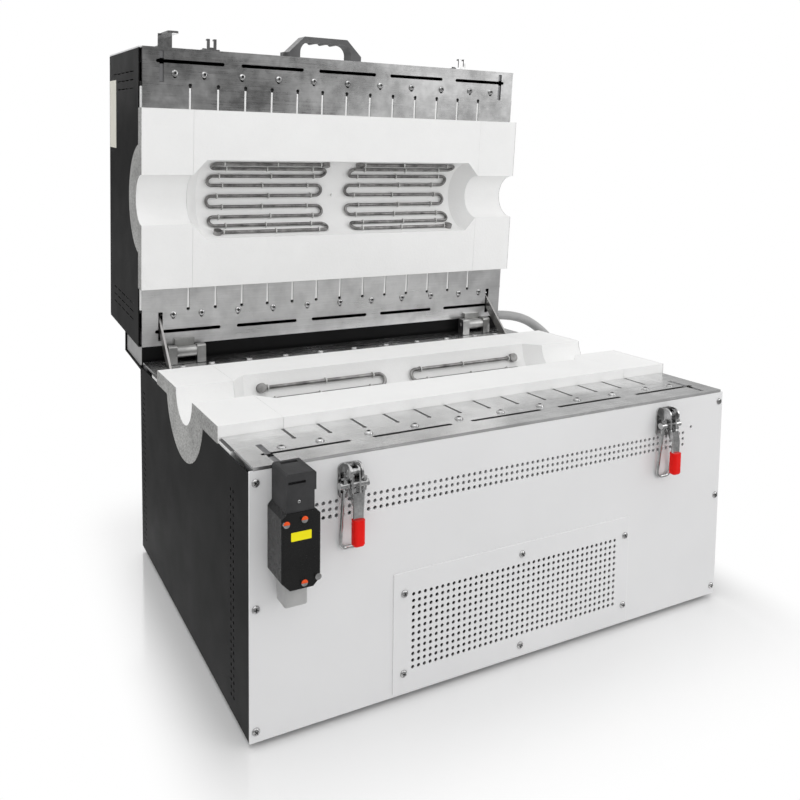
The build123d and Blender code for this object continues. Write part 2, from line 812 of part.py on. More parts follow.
with BuildPart() as terminal_block:
    tray_floor = foot_height + sheet
    block_y = rear_y - terminal_setback
    pocket_floor = tray_floor + terminal_rise - terminal_pocket_depth
    slab((-terminal_width / 2, terminal_width / 2),
         (block_y - terminal_depth / 2, block_y + terminal_depth / 2),
         (tray_floor, tray_floor + terminal_rise))
    for i in range(int(terminal_width // terminal_pitch)):
        x = (terminal_pitch - terminal_width) / 2 + i * terminal_pitch
        slab((x - terminal_pocket / 2, x + terminal_pocket / 2),
             (block_y - terminal_depth / 3, block_y + terminal_depth / 3),
             (pocket_floor, tray_floor + terminal_rise + 1), mode=Mode.SUBTRACT)
        rod((x, block_y, pocket_floor), (x, block_y, pocket_floor + terminal_screw_radius),
            terminal_screw_radius)
write("terminal_block", terminal_block.part)

# Casing of the lid
lid_panel_edge = level(LID, ceramic_proud + lid_panel_start)
with BuildPart() as lid_front_panel:
    slab((-half_width, half_width), (lid_front_y, lid_front_y + panel_thickness),
         (lid_panel_edge, lid_top - sheet))
write_lid("lid_front_panel", lid_front_panel.part)

with BuildPart() as lid_rear_panel:
    slab((-half_width, half_width), (lid_rear_y - sheet, lid_rear_y), (lid_panel_edge, lid_top - sheet))
write_lid("lid_rear_panel", lid_rear_panel.part)

with BuildPart() as lid_top_cover:
    slab((-half_width, half_width), (lid_front_y, lid_rear_y), (lid_top - sheet, lid_top))
    fillet(lid_top_cover.edges().filter_by(Axis.Z), cover_rounding)
write_lid("lid_top_cover", lid_top_cover.part)

duct_x = half_width - duct_inset
duct_low = level(LID, ceramic_proud)
with BuildPart() as rear_duct:
    with BuildSketch(Plane.YZ.offset(-duct_x)):
        with Locations((lid_rear_y, duct_low)):
            Rectangle(duct_depth, duct_height, align=(Align.MIN, Align.MIN))
            with Locations((0, sheet)):
                Rectangle(duct_depth - sheet, duct_height - 2 * sheet, align=(Align.MIN, Align.MIN),
                          mode=Mode.SUBTRACT)
    extrude(amount=2 * duct_x)
write_lid("rear_duct", rear_duct.part)

with BuildPart() as rear_duct_ends:
    for side in (-1, 1):
        x = side * (duct_x - duct_end_inset)
        slab((x, x - side * sheet), (lid_rear_y + edge_gap, lid_rear_y + duct_depth - sheet - edge_gap),
             (duct_low + sheet + edge_gap, duct_low + duct_height - sheet - edge_gap))
    middle = (lid_rear_y + lid_gland_depth, duct_low + lid_gland_level)
    rod((duct_x - duct_end_inset - 2 * sheet, *middle), (duct_x, *middle),
        gland_radius - gland_step + bolt_clearance,
        mode=Mode.SUBTRACT)
write_lid("rear_duct_ends", rear_duct_ends.part)


# Hinges
def hinge_knuckles(side):
    """The two blocks of one hinge that stand on the base's rear plate."""
    middle = side * hinge_column
    face = level(BASE, ceramic_proud)
    with BuildPart() as knuckles:
        for end in (-1, 1):
            outer = middle + end * hinge_width / 2
            slab((outer, outer - end * knuckle_width), (hinge_y - knuckle_front, hinge_y + knuckle_rear),
                 (face, hinge_z + knuckle_rise))
        fillet(knuckles.edges().filter_by(Axis.X).group_by(Axis.Z)[-1], knuckle_rounding)
        rod((middle - hinge_width / 2 - 1, hinge_y, hinge_z),
            (middle + hinge_width / 2 + 1, hinge_y, hinge_z),
            pin_radius, mode=Mode.SUBTRACT)
    return knuckles.part


def hinge_barrel(side):
    """The lid's part of one hinge: a barrel between the base's blocks, and its neck."""
    reach = hinge_width / 2 - knuckle_width - edge_gap
    ends = (side * hinge_column - reach, side * hinge_column + reach)
    face = level(LID, ceramic_proud)
    with BuildPart() as barrel:
        rod((ends[0], hinge_y, hinge_z), (ends[1], hinge_y, hinge_z), barrel_radius)
        slab(ends, (lid_rear_y - neck_front, hinge_y), (face - (face - hinge_z) / 2, face))
        rod((ends[0] - 1, hinge_y, hinge_z), (ends[1] + 1, hinge_y, hinge_z), pin_radius + pin_clearance,
            mode=Mode.SUBTRACT)
    return barrel.part


with BuildPart() as base_hinge_leaves:
    add([hinge_knuckles(-1), hinge_knuckles(1)])
write("base_hinge_leaves", base_hinge_leaves.part)

with BuildPart() as lid_hinge_leaves:
    add([hinge_barrel(-1), hinge_barrel(1)])
write_lid("lid_hinge_leaves", lid_hinge_leaves.part)

with BuildPart() as hinge_pins:
    for side in (-1, 1):
        reach = hinge_width / 2 + pin_end
        rod((side * hinge_column - reach, hinge_y, hinge_z),
            (side * hinge_column + reach, hinge_y, hinge_z), pin_radius)
write("hinge_pins", hinge_pins.part)


# Stay bars, drawn in place with the lid open
stay_y, stay_z = opened(lid_rear_y - stay_pivot_reach, level(LID, ceramic_proud + stay_pivot_inside))


def stay(side):
    """A flat bar with its pin, which leans down and forward from the lid into the base."""
    lean = Vector(0, -sin(radians(stay_lean)), -cos(radians(stay_lean)))
    x = side * stay_column
    outline = Plane(origin=(x - stay_thickness / 2, stay_y, stay_z), x_dir=lean, z_dir=(1, 0, 0))
    with BuildPart() as bar:
        with BuildSketch(outline):
            with Locations(((stay_length - stay_width) / 2, 0)):
                SlotOverall(stay_length, stay_width)
        extrude(amount=stay_thickness)
        rod((x - stay_pin_length / 2, stay_y, stay_z), (x + stay_pin_length / 2, stay_y, stay_z),
            stay_pin_radius)
    return bar.part


write("stay_left", stay(-1))
write("stay_right", stay(1))


# Toggle clamps
pivot_y = front_y - clamp_pivot_reach
crossbar_y = pivot_y - crossbar_ahead
crossbar_z = clamp_pivot_height - crossbar_drop
ear_out = ear_gap / 2 + ear_thickness
wire_x = ear_out + ubolt_clearance + ubolt_nut_radius


def clamp_bracket(x):
    """The riveted plate and its two round ears."""
    with BuildPart() as bracket:
        slab((x - clamp_plate_width / 2, x + clamp_plate_width / 2),
             (front_y - clamp_plate_thickness, front_y), (clamp_plate_bottom, clamp_plate_top))
        fillet(bracket.edges().filter_by(Axis.Y), clamp_plate_rounding)
        for side in (-1, 1):
            near = x + side * ear_gap / 2
            far = x + side * ear_out
            rod((near, pivot_y, clamp_pivot_height), (far, pivot_y, clamp_pivot_height), ear_radius)
            slab((near, far), (pivot_y, front_y - clamp_plate_thickness / 2),
                 (clamp_pivot_height - ear_radius + 1, clamp_pivot_height + ear_radius - 1))
        rod((x - ear_out - pin_head, pivot_y, clamp_pivot_height),
            (x + ear_out + pin_head, pivot_y, clamp_pivot_height),
            pin_radius)
        rivet_z = clamp_plate_bottom + clamp_rivet_rise
        for step in (-clamp_rivet_step, clamp_rivet_step):
            rod((x + step, front_y - clamp_plate_thickness - clamp_rivet_height, rivet_z),
                (x + step, front_y - clamp_plate_thickness, rivet_z), clamp_rivet_radius)
    return bracket.part


strip_y = pivot_y - lever_reach
strip_top = crossbar_z - cheek_radius
strip_bend = strip_top - lever_bend


def clamp_lever(x):
    """Two cheeks that turn on the bracket's pin, joined to a bent strip that carries the grip."""
    with BuildPart() as lever:
        for side in (-1, 1):
            inner = x + side * (lever_width / 2 - cheek_thickness)
            with BuildSketch(Plane.YZ.offset(inner)):
                with Locations((pivot_y, clamp_pivot_height)):
                    Circle(cheek_radius)
                with Locations((crossbar_y, crossbar_z)):
                    Circle(crossbar_eye)
                with BuildLine():
                    Polyline((pivot_y + cheek_radius, clamp_pivot_height),
                             (pivot_y - cheek_radius, clamp_pivot_height),
                             (strip_y + 2 * lever_strip, strip_top + 1), (strip_y, strip_bend),
                             (strip_y + 2 * lever_strip, strip_bend),
                             (crossbar_y + crossbar_eye, crossbar_z),
                             close=True)
                make_face()
                with Locations((pivot_y, clamp_pivot_height)):
                    Circle(pin_radius + pin_clearance, mode=Mode.SUBTRACT)
                with Locations((crossbar_y, crossbar_z)):
                    Circle(crossbar_neck_radius + pin_clearance, mode=Mode.SUBTRACT)
            extrude(amount=side * cheek_thickness)
        with BuildSketch(Plane.YZ.offset(x - lever_width / 2)):
            with BuildLine():
                Polyline((strip_y + 2 * lever_strip, strip_top), (strip_y + lever_strip, strip_top),
                         (strip_y, strip_bend), (strip_y, grip_bottom + grip_rounding),
                         (strip_y + lever_strip, grip_bottom + grip_rounding),
                         (strip_y + lever_strip, strip_bend),
                         close=True)
            make_face()
        extrude(amount=lever_width)
    return lever.part


def clamp_grip(x):
    """The soft red sleeve over the end of the lever."""
    top = grip_bottom + grip_length
    middle_y = strip_y + lever_strip / 2
    with BuildPart() as grip:
        slab((x - grip_width / 2, x + grip_width / 2),
             (middle_y - grip_thickness / 2, middle_y + grip_thickness / 2), (grip_bottom, top))
        fillet(grip.edges().filter_by(Axis.Z), grip_rounding)
        fillet(grip.edges().group_by(Axis.Z)[0], grip_end_rounding)
        slab((x - lever_width / 2, x + lever_width / 2), (strip_y, strip_y + lever_strip),
             (grip_bottom + grip_rounding, top + 1), mode=Mode.SUBTRACT)
    return grip.part


def clamp_ubolt(x):
    """The crossbar on its neck, and the U-bolt that hangs from it with a nut above and below."""
    low = crossbar_z - ubolt_length
    neck_x = lever_width / 2 + ubolt_clearance
    with BuildPart() as ubolt:
        rod((x - neck_x - 1, crossbar_y, crossbar_z), (x + neck_x + 1, crossbar_y, crossbar_z),
            crossbar_neck_radius)
        for side in (-1, 1):
            rod((x + side * neck_x, crossbar_y, crossbar_z),
                (x + side * crossbar_length / 2, crossbar_y, crossbar_z),
                crossbar_radius)
            wire = x + side * wire_x
            for start in (crossbar_z + ubolt_nut_gap, crossbar_z - ubolt_nut_gap - ubolt_nut_height):
                with BuildSketch(Plane.XY.offset(start)):
                    with Locations((wire, crossbar_y)):
                        RegularPolygon(ubolt_nut_radius, 6)
                extrude(amount=ubolt_nut_height)
        with BuildLine() as hoop:
            FilletPolyline((x - wire_x, crossbar_y, crossbar_z + ubolt_thread),
                           (x - wire_x, crossbar_y, low),
                           (x + wire_x, crossbar_y, low),
                           (x + wire_x, crossbar_y, crossbar_z + ubolt_thread),
                           radius=ubolt_corner)
        with BuildSketch(Plane(origin=hoop.line @ 0, z_dir=hoop.line % 0)):
            Circle(ubolt_wire_radius)
        sweep(path=hoop.line)
    return ubolt.part.rotate(Axis((x, crossbar_y, crossbar_z), (1, 0, 0)), ubolt_hang)


with BuildPart() as clamp_brackets:
    add([clamp_bracket(-clamp_column), clamp_bracket(clamp_column)])
write("clamp_brackets", clamp_brackets.part)
for name, x in (("left", -clamp_column), ("right", clamp_column)):
    write(f"clamp_lever_{name}", clamp_lever(x))
    write(f"clamp_grip_{name}", clamp_grip(x))
    write(f"clamp_ubolt_{name}", clamp_ubolt(x))

# Safety switch and its key
switch_face = front_y - switch_depth
switch_x = (switch_column - switch_width / 2, switch_column + switch_width / 2)
with BuildPart() as switch_body:
    slab(switch_x, (switch_face, front_y), (switch_bottom, switch_top))
    chamfer(switch_body.edges().filter_by(Axis.Y).group_by(Axis.Z)[0], switch_low_corner)
    chamfer(switch_body.edges().filter_by(Axis.Y).group_by(Axis.Z)[-1], switch_high_corner)
    fillet(switch_body.edges().filter_by(Axis.Z), switch_rounding)
write("switch_body", switch_body.part)

head_x = (switch_column - switch_head_width / 2, switch_column + switch_head_width / 2)
head_top = switch_top + switch_head_height
key_y = front_y - key_slot_reach
slot_reach = key_width / 2 + key_clearance
with BuildPart() as switch_head:
    slab(head_x, (switch_face + switch_head_inset, front_y - switch_head_inset), (switch_top, head_top))
    chamfer(switch_head.edges().filter_by(Axis.Y).group_by(Axis.Z)[-1], switch_head_step_width)
    slab((head_x[1] - switch_head_step_width, head_x[1] + 1), (switch_face, front_y),
         (switch_top - 1, switch_top + switch_head_step), mode=Mode.SUBTRACT)
    slab((switch_column - slot_reach, switch_column + slot_reach),
         (key_y - key_thickness / 2 - key_clearance, key_y + key_thickness / 2 + key_clearance),
         (head_top - key_slot_depth, head_top + 1), mode=Mode.SUBTRACT)
    slab((switch_column - slot_reach - front_slot_shift, switch_column + slot_reach - front_slot_shift),
         (switch_face, switch_face + front_slot_depth),
         (head_top - front_slot_drop, head_top - front_slot_drop + front_slot_height), mode=Mode.SUBTRACT)
write("switch_head", switch_head.part)

with BuildPart() as switch_screws:
    edge = switch_screw_radius + switch_screw_margin
    for x, z in ((switch_x[0] + edge, switch_top - switch_screw_drops[0]),
                 (switch_column + switch_screw_shift, switch_top - switch_screw_drops[1]),
                 (switch_column + switch_screw_shift, switch_bottom + switch_screw_rises[0]),
                 (switch_x[1] - edge, switch_bottom + switch_screw_rises[1])):
        rod((x, switch_face - switch_screw_height, z), (x, switch_face, z), switch_screw_radius)
write("switch_screws", switch_screws.part)

with BuildPart() as switch_plug:
    plug_y = front_y - plug_reach
    slab((switch_column - plug_width / 2, switch_column + plug_width / 2),
         (plug_y - plug_depth / 2, plug_y + plug_depth / 2), (switch_bottom - plug_length, switch_bottom))
    fillet(switch_plug.edges().filter_by(Axis.Z), plug_rounding)
    fillet(switch_plug.edges().group_by(Axis.Z)[0], plug_end_rounding)
write("switch_plug", switch_plug.part)

with BuildPart() as safety_key:
    foot = level(LID, ceramic_proud + key_foot)
    key_end = head_top - key_reach
    bracket_x = (switch_column - key_bracket_width / 2, switch_column + key_bracket_width / 2)
    slab(bracket_x, (lid_front_y - key_bracket_sheet, lid_front_y), (foot, foot + key_bracket_height))
    slab(bracket_x, (key_y - key_thickness / 2, lid_front_y), (foot, foot + key_bracket_sheet))
    slab((switch_column - key_width / 2, switch_column + key_width / 2),
         (key_y - key_thickness / 2, key_y + key_thickness / 2), (key_end, foot + 1))
    chamfer(safety_key.edges().filter_by(Axis.Y).group_by(Axis.Z)[0], key_tip_chamfer)
    for step in (-key_bracket_width / 4, key_bracket_width / 4):
        rod((switch_column + step, lid_front_y - key_bracket_sheet - screw_head_height,
             foot + key_bracket_height / 2),
            (switch_column + step, lid_front_y - key_bracket_sheet, foot + key_bracket_height / 2),
            screw_radius + 1)
write_lid("safety_key", safety_key.part)


# Catch hooks and carry handle
def catch_hook(x):
    """A bent plate with two prongs that the U-bolt lies on."""
    low = level(LID, ceramic_proud + hook_level)
    prong_y = lid_front_y - hook_reach
    prong_x = (x - hook_width / 2, x + hook_width / 2)
    with BuildPart() as hook:
        slab((x - hook_plate_width / 2, x + hook_plate_width / 2), (lid_front_y - hook_sheet, lid_front_y),
             (low, low + hook_plate_height))
        slab(prong_x, (prong_y, lid_front_y), (low, low + hook_sheet))
        slab(prong_x, (prong_y, prong_y + hook_sheet), (low, low + hook_lip))
        slab((x - hook_notch / 2, x + hook_notch / 2), (prong_y - 1, lid_front_y - 2 * hook_sheet),
             (low - 1, low + hook_lip + 1), mode=Mode.SUBTRACT)
        for step in (-hook_plate_width / 4, hook_plate_width / 4):
            rod((x + step, lid_front_y - hook_sheet - screw_head_height, low + hook_plate_height * 2 / 3),
                (x + step, lid_front_y - hook_sheet, low + hook_plate_height * 2 / 3), screw_radius + 1)
    return hook.part


with BuildPart() as catch_hooks:
    add([catch_hook(-clamp_column), catch_hook(clamp_column)])
write_lid("catch_hooks", catch_hooks.part)

handle_z = level(LID, ceramic_proud) + handle_level
with BuildPart() as carry_handle:
    with BuildSketch(Plane.XY.offset(handle_z - handle_depth / 2)):
        half_handle = handle_width / 2
        half_flat = handle_flat / 2
        opening_y = handle_height - handle_bar
        with BuildLine():
            Polyline((-half_handle, lid_front_y), (-half_handle, lid_front_y - handle_shoulder),
                     (-half_flat, lid_front_y - handle_height), (half_flat, lid_front_y - handle_height),
                     (half_handle, lid_front_y - handle_shoulder), (half_handle, lid_front_y), close=True)
        make_face()
        with Locations((0, lid_front_y - opening_y)):
            RectangleRounded(handle_width - 2 * handle_leg, 2 * opening_y + 2 * handle_opening_radius,
                             handle_opening_radius, align=(Align.CENTER, Align.MIN), mode=Mode.SUBTRACT)
        with Locations(*[(step, lid_front_y - opening_y - handle_ridge_radius * handle_ridge_rise)
                         for step in (-handle_ridge_pitch, 0, handle_ridge_pitch)]):
            Circle(handle_ridge_radius)
    extrude(amount=handle_depth)
    fillet(carry_handle.edges().filter_by(Axis.Z).group_by(Axis.Y)[0], handle_bar / 4)
    for side in (-1, 1):
        slab((side * (half_handle - 1), side * (half_handle + handle_lug)),
             (lid_front_y - handle_shoulder, lid_front_y), (handle_z, handle_z + handle_depth / 2))
write_lid("carry_handle", carry_handle.part)


# Conduit and its glands
def gland(start, end):
    """A hexagon nut and a round dome on one line, with a bore for the conduit."""
    start, end = Vector(*start), Vector(*end)
    along = (end - start).normalized()
    with BuildPart() as fitting:
        with BuildSketch(Plane(origin=start, z_dir=along)):
            RegularPolygon(gland_radius, 6)
        extrude(amount=gland_length * gland_nut_share)
        rod(start, end, gland_radius - gland_step / 2)
        rod(start - along * gland_thread, start, gland_radius - gland_step)
    return fitting.part


lid_gland_y, lid_gland_z = opened(lid_rear_y + lid_gland_depth, duct_low + lid_gland_level)
lid_gland_end = duct_x - duct_end_inset + gland_length
base_gland_end = half_width + gland_length
write("lid_conduit_gland",
      gland((duct_x - duct_end_inset, lid_gland_y, lid_gland_z), (lid_gland_end, lid_gland_y, lid_gland_z)))
write("base_conduit_gland",
      gland((half_width, base_gland_y, base_gland_z), (base_gland_end, base_gland_y, base_gland_z)))

points = [Vector(lid_gland_end + conduit_gap, lid_gland_y, lid_gland_z)]
points += [Vector(*point) for point in conduit_bends]
points += [Vector(base_gland_end + conduit_gap, base_gland_y, base_gland_z)]
radii = []
for before, corner, after in zip(points, points[1:], points[2:]):
    turn_angle = (corner - before).get_angle(after - corner)
    shorter = min((corner - before).length, (after - corner).length)
    radii.append(conduit_bend_share * shorter / tan(radians(turn_angle / 2)))
with BuildPart() as conduit:
    with BuildLine() as route:
        FilletPolyline(*points, radius=radii)
    with BuildSketch(Plane(origin=route.line @ 0, z_dir=route.line % 0)):
        Circle(conduit_radius)
    sweep(path=route.line)
write("conduit", conduit.part)
conduit_length = sum(edge.length for edge in route.edges())
print("conduit bend radii", [round(radius) for radius in radii], "length", round(conduit_length))
print("conduit volume share", round(conduit.part.volume / (pi * conduit_radius**2 * conduit_length), 4))
print("front_y", round(front_y, 2), "hinge", round(hinge_y, 2), round(hinge_z, 2), "lid_top",
      round(lid_top, 2))
print("stay pivot", round(stay_y, 2), round(stay_z, 2), "lid gland", round(lid_gland_y, 2),
      round(lid_gland_z, 2))
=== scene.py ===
# %% [markdown]
# # A split tube furnace, dressed in cells
#
# The furnace is a steel box in two halves, hinged at the back like a trunk. White fibre blocks
# line both halves, and the half-round channel in them holds the heating elements. The solids
# come from the CAD model, which is already at its real size in metres, so this script doesn't
# place or scale them. It gives each one a finish, and adds what is too small or too soft for CAD.
#
# We load the model first and keep its box, to see at the end that nothing has grown.

# %% Load the furnace
import math

import bmesh
import bpy
from mathutils import Matrix, Vector


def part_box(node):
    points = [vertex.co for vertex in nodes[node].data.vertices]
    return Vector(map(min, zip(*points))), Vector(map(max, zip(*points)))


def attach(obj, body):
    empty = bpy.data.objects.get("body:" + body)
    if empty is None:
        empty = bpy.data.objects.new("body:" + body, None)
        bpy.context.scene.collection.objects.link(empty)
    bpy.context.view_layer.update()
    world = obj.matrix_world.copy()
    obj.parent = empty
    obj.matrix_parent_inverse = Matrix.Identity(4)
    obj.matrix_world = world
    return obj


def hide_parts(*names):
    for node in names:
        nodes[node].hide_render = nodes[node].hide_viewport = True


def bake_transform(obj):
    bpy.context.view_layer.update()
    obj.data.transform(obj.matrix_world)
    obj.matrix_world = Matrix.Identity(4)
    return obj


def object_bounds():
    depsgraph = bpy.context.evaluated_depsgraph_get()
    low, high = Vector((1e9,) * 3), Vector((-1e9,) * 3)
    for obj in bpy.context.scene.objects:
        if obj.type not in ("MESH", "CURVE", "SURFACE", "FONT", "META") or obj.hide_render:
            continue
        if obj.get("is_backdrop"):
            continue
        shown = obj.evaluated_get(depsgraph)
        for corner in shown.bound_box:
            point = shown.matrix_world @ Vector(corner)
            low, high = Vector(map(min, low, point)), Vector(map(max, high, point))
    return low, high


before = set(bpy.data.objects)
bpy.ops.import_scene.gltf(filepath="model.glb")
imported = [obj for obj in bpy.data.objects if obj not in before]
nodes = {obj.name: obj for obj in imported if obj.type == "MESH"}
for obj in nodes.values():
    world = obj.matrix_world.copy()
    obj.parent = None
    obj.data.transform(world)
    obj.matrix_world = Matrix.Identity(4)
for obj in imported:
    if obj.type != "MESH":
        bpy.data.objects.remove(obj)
cad_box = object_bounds()
print("box of the solids", [tuple(round(v, 4) for v in corner) for corner in cad_box])

# %% [markdown]
# ## The camera
#
# The picture to match was taken from the left and a little above, with the lens shifted so that
# upright edges stay nearly upright. The same view can be made by tilting a plain camera, but then
# the edges lean, so we keep the small pitch and give the rest of the framing to the lens shift.

# %% Camera at the left front corner
YAW, PITCH, ROLL = -0.453917, 0.08, 0.005852
CAMERA_PLACE = (-0.57555, -1.00166, 0.55758)
SENSOR_WIDTH = 36
PIXELS = 800
FOCAL_PIXELS = 794.358
AXIS_PIXEL = (330, 235)

flat = math.cos(PITCH)
ahead = Vector((-math.sin(YAW) * flat, math.cos(YAW) * flat, -math.sin(PITCH)))
level_right = Vector((math.cos(YAW), math.sin(YAW), 0))
level_up = level_right.cross(ahead)
right = level_right * math.cos(ROLL) + level_up * math.sin(ROLL)
up = level_up * math.cos(ROLL) - level_right * math.sin(ROLL)

lens = bpy.data.cameras.new("furnace_camera")
lens.sensor_width = SENSOR_WIDTH
lens.lens = FOCAL_PIXELS / PIXELS * SENSOR_WIDTH
lens.shift_x = (PIXELS / 2 - AXIS_PIXEL[0]) / PIXELS
lens.shift_y = -(PIXELS / 2 - AXIS_PIXEL[1]) / PIXELS
camera = bpy.data.objects.new("furnace_camera", lens)
turned = Matrix((right, up, -ahead)).transposed().to_4x4()
camera.matrix_world = Matrix.Translation(CAMERA_PLACE) @ turned
bpy.context.scene.collection.objects.link(camera)
bpy.context.scene.camera = camera
print("lens", round(lens.lens, 2), "mm, shift", round(lens.shift_x, 4), round(lens.shift_y, 4))

# %% [markdown]
# ## Helpers for shaders
#
# Every finish here is a small tree of shader nodes. A helper that adds a node and sets its inputs
# in one line keeps each recipe short enough to read. Patterns are measured in object coordinates:
# the CAD solids sit at the origin, so those are metres on the real furnace, and a grain that is
# one millimetre wide stays one millimetre wide on every piece.

# %% Shader helpers
WHITE = (1.0, 1.0, 1.0)


def finish(name):
    """A new material with its shader, and its object coordinates ready to use."""
    material = bpy.data.materials.new(name)
    material.use_nodes = True
    tree = material.node_tree
    shader = tree.nodes["Principled BSDF"]
    coordinates = tree.nodes.new("ShaderNodeTexCoord")
    return material, tree, shader, coordinates.outputs["Object"]


def node(tree, kind, inputs=None, **settings):
    """Adds one shader node. inputs maps a socket to a value, or to the socket that feeds it."""
    made = tree.nodes.new("ShaderNode" + kind)
    for key, value in settings.items():
        setattr(made, key, value)
    for key, value in (inputs or {}).items():
        socket = made.inputs[key]
        if isinstance(value, bpy.types.NodeSocket):
            tree.links.new(value, socket)
        else:
            socket.default_value = value
    return made


def grey(tone):
    """A neutral colour."""
    return (tone, tone, tone)


def grain(tree, where, scale, detail=4.0, roughness=0.5):
    """Noise from 0 to 1."""
    inputs = {"Vector": where, "Scale": scale, "Detail": detail, "Roughness": roughness}
    return node(tree, "TexNoise", inputs).outputs["Fac"]


def graded(tree, value, *stops):
    """A colour ramp: each stop is a place and a colour."""
    ramp = node(tree, "ValToRGB", {"Fac": value})
    elements = ramp.color_ramp.elements
    for element, (place, colour) in zip(elements, stops):
        element.position = place
        element.color = (*colour, 1)
    return ramp.outputs["Color"]


def ranged(tree, value, low, high, start=0.0, end=1.0, **settings):
    """A value between start and end, spread from low to high."""
    inputs = {"Value": value, "From Min": start, "From Max": end, "To Min": low, "To Max": high}
    return node(tree, "MapRange", inputs, **settings).outputs["Result"]


def combined(tree, operation, *values):
    """One number from one or two."""
    return node(tree, "Math", dict(enumerate(values)), operation=operation).outputs["Value"]


def vector(tree, operation, *values, output="Vector"):
    """The same for vectors."""
    inputs = dict(enumerate(values))
    return node(tree, "VectorMath", inputs, operation=operation).outputs[output]


def mixed(tree, factor, first, second, blend="MIX"):
    """Two colours in one."""
    inputs = {"Factor": factor, "A": first, "B": second}
    return node(tree, "Mix", inputs, data_type="RGBA", blend_type=blend).outputs["Result"]


def bumped(tree, shader, height, strength, distance):
    """Raises the shaded surface by height, and passes on any bump that was there before."""
    before = shader.inputs["Normal"].links
    inputs = {"Height": height, "Strength": strength, "Distance": distance}
    if before:
        inputs["Normal"] = before[0].from_socket
    made = node(tree, "Bump", inputs)
    tree.links.new(made.outputs["Normal"], shader.inputs["Normal"])


# This edge mask places the powder coat's painted highlight on its edges.
def edge_highlight_mask(tree, radius):
    """1 near edges and 0 on flats, from the difference between rounded and true normals."""
    rounded = node(tree, "Bevel", {"Radius": radius}, samples=4).outputs["Normal"]
    true = node(tree, "NewGeometry").outputs["Normal"]
    alike = vector(tree, "DOT_PRODUCT", rounded, true, output="Value")
    return ranged(tree, alike, 0.0, 1.0, start=0.995, end=0.86)


print("shader helpers ready")

# %% [markdown]
# ## Helpers for meshes
#
# The few shapes that aren't solids are drawn here as plain meshes. Each is built in memory, then
# stored and put in the scene in the same way.

# %% Mesh helpers
def stored(name, built):
    """The mesh of what has been built in memory."""
    mesh = bpy.data.meshes.new(name)
    built.to_mesh(mesh)
    built.free()
    return mesh


def link(name, mesh, material, smooth=True):
    """Puts a mesh in the scene with one material."""
    thing = bpy.data.objects.new(name, mesh)
    bpy.context.scene.collection.objects.link(thing)
    mesh.materials.append(material)
    for face in mesh.polygons:
        face.use_smooth = smooth
    return thing


def around(sides):
    """The cosine and the sine of each corner of a regular polygon."""
    return [(math.cos(2 * math.pi * k / sides), math.sin(2 * math.pi * k / sides))
            for k in range(sides)]


print("mesh helpers ready")

# %% [markdown]
# ## The conduit
#
# A grey plastic conduit carries the lid's wires. It comes straight out of the duct behind the lid,
# arches over, and goes into the right side of the base. It is stiff, so its bends are wide. We give
# a NURBS curve the route's points: the curve passes near them in one smooth line, which is how a
# stiff hose lies. The tube is built as a mesh of rings along that line.

# %% Route of the conduit
CONDUIT_DIAMETER = 0.017
CONDUIT_ROUTE = [
    (0.3364, 0.19701, 0.28892),
    (0.401, 0.197, 0.2889),
    (0.454, 0.176, 0.258),
    (0.475, 0.140, 0.206),
    (0.455, 0.104, 0.155),
    (0.403, 0.082, 0.124),
    (0.3434, 0.082, 0.124),
]


def line_through(route):
    """The points of a smooth NURBS line near a route, and their whole length."""
    curve = bpy.data.curves.new("route", "CURVE")
    curve.dimensions = "3D"
    spline = curve.splines.new("NURBS")
    spline.points.add(len(route) - 1)
    for point, place in zip(spline.points, route):
        point.co = (*place, 1)
    spline.order_u = 3
    spline.use_endpoint_u = True
    spline.resolution_u = 16
    holder = bpy.data.objects.new("route", curve)
    drawn = bpy.data.meshes.new_from_object(holder)
    points = [v.co.copy() for v in drawn.vertices]
    bpy.data.objects.remove(holder)
    bpy.data.curves.remove(curve)
    bpy.data.meshes.remove(drawn)
    return points, sum((b - a).length for a, b in zip(points, points[1:]))


conduit_line, conduit_length = line_through(CONDUIT_ROUTE)
print("conduit", len(conduit_line), "points,", round(conduit_length, 4), "m")

# %% Tube along a line
def tube(name, line, radius_at, material, sides=24):
    """Rings of vertices that follow a line without twisting, closed at both ends."""
    built = bmesh.new()
    across = None
    rings = []
    for i, place in enumerate(line):
        along = (line[min(i + 1, len(line) - 1)] - line[max(i - 1, 0)]).normalized()
        if across is None:
            across = along.orthogonal().normalized()
        across = (across - along * across.dot(along)).normalized()
        other = along.cross(across)
        radius = radius_at(i)
        rings.append([built.verts.new(place + (across * c + other * s) * radius)
                      for c, s in around(sides)])
    for before, after in zip(rings, rings[1:]):
        for k in range(sides):
            following = (k + 1) % sides
            built.faces.new((before[k], before[following], after[following], after[k]))
    built.faces.new(rings[0][::-1])
    built.faces.new(rings[-1])
    bmesh.ops.recalc_face_normals(built, faces=built.faces)
    return link(name, stored(name, built), material)


def resampled(line, step):
    """The same line with points a set distance apart."""
    spaced, left = [line[0]], step
    for a, b in zip(line, line[1:]):
        gap = (b - a).length
        while gap > 0 and left <= gap:
            spaced.append(a.lerp(b, left / gap))
            left += step
        left -= gap
    if (spaced[-1] - line[-1]).length < step / 3:
        spaced.pop()
    return spaced + [line[-1]]


print("tube helpers ready")

# %% [markdown]
# ## Finish of the conduit
#
# The conduit is moulded in a mid grey with a dull sheen. A flat grey would look like clay, so two
# scales of noise vary it: a wide, faint one for handling marks and a fine one for the moulded skin.
# Every third ring of the tube is a hair narrower, which gives the fine ribs of a flexible conduit.

# %% Conduit material and tube
RING_STEP = 0.0016
RIB_DEPTH = 0.00022
RIB_EVERY = 3

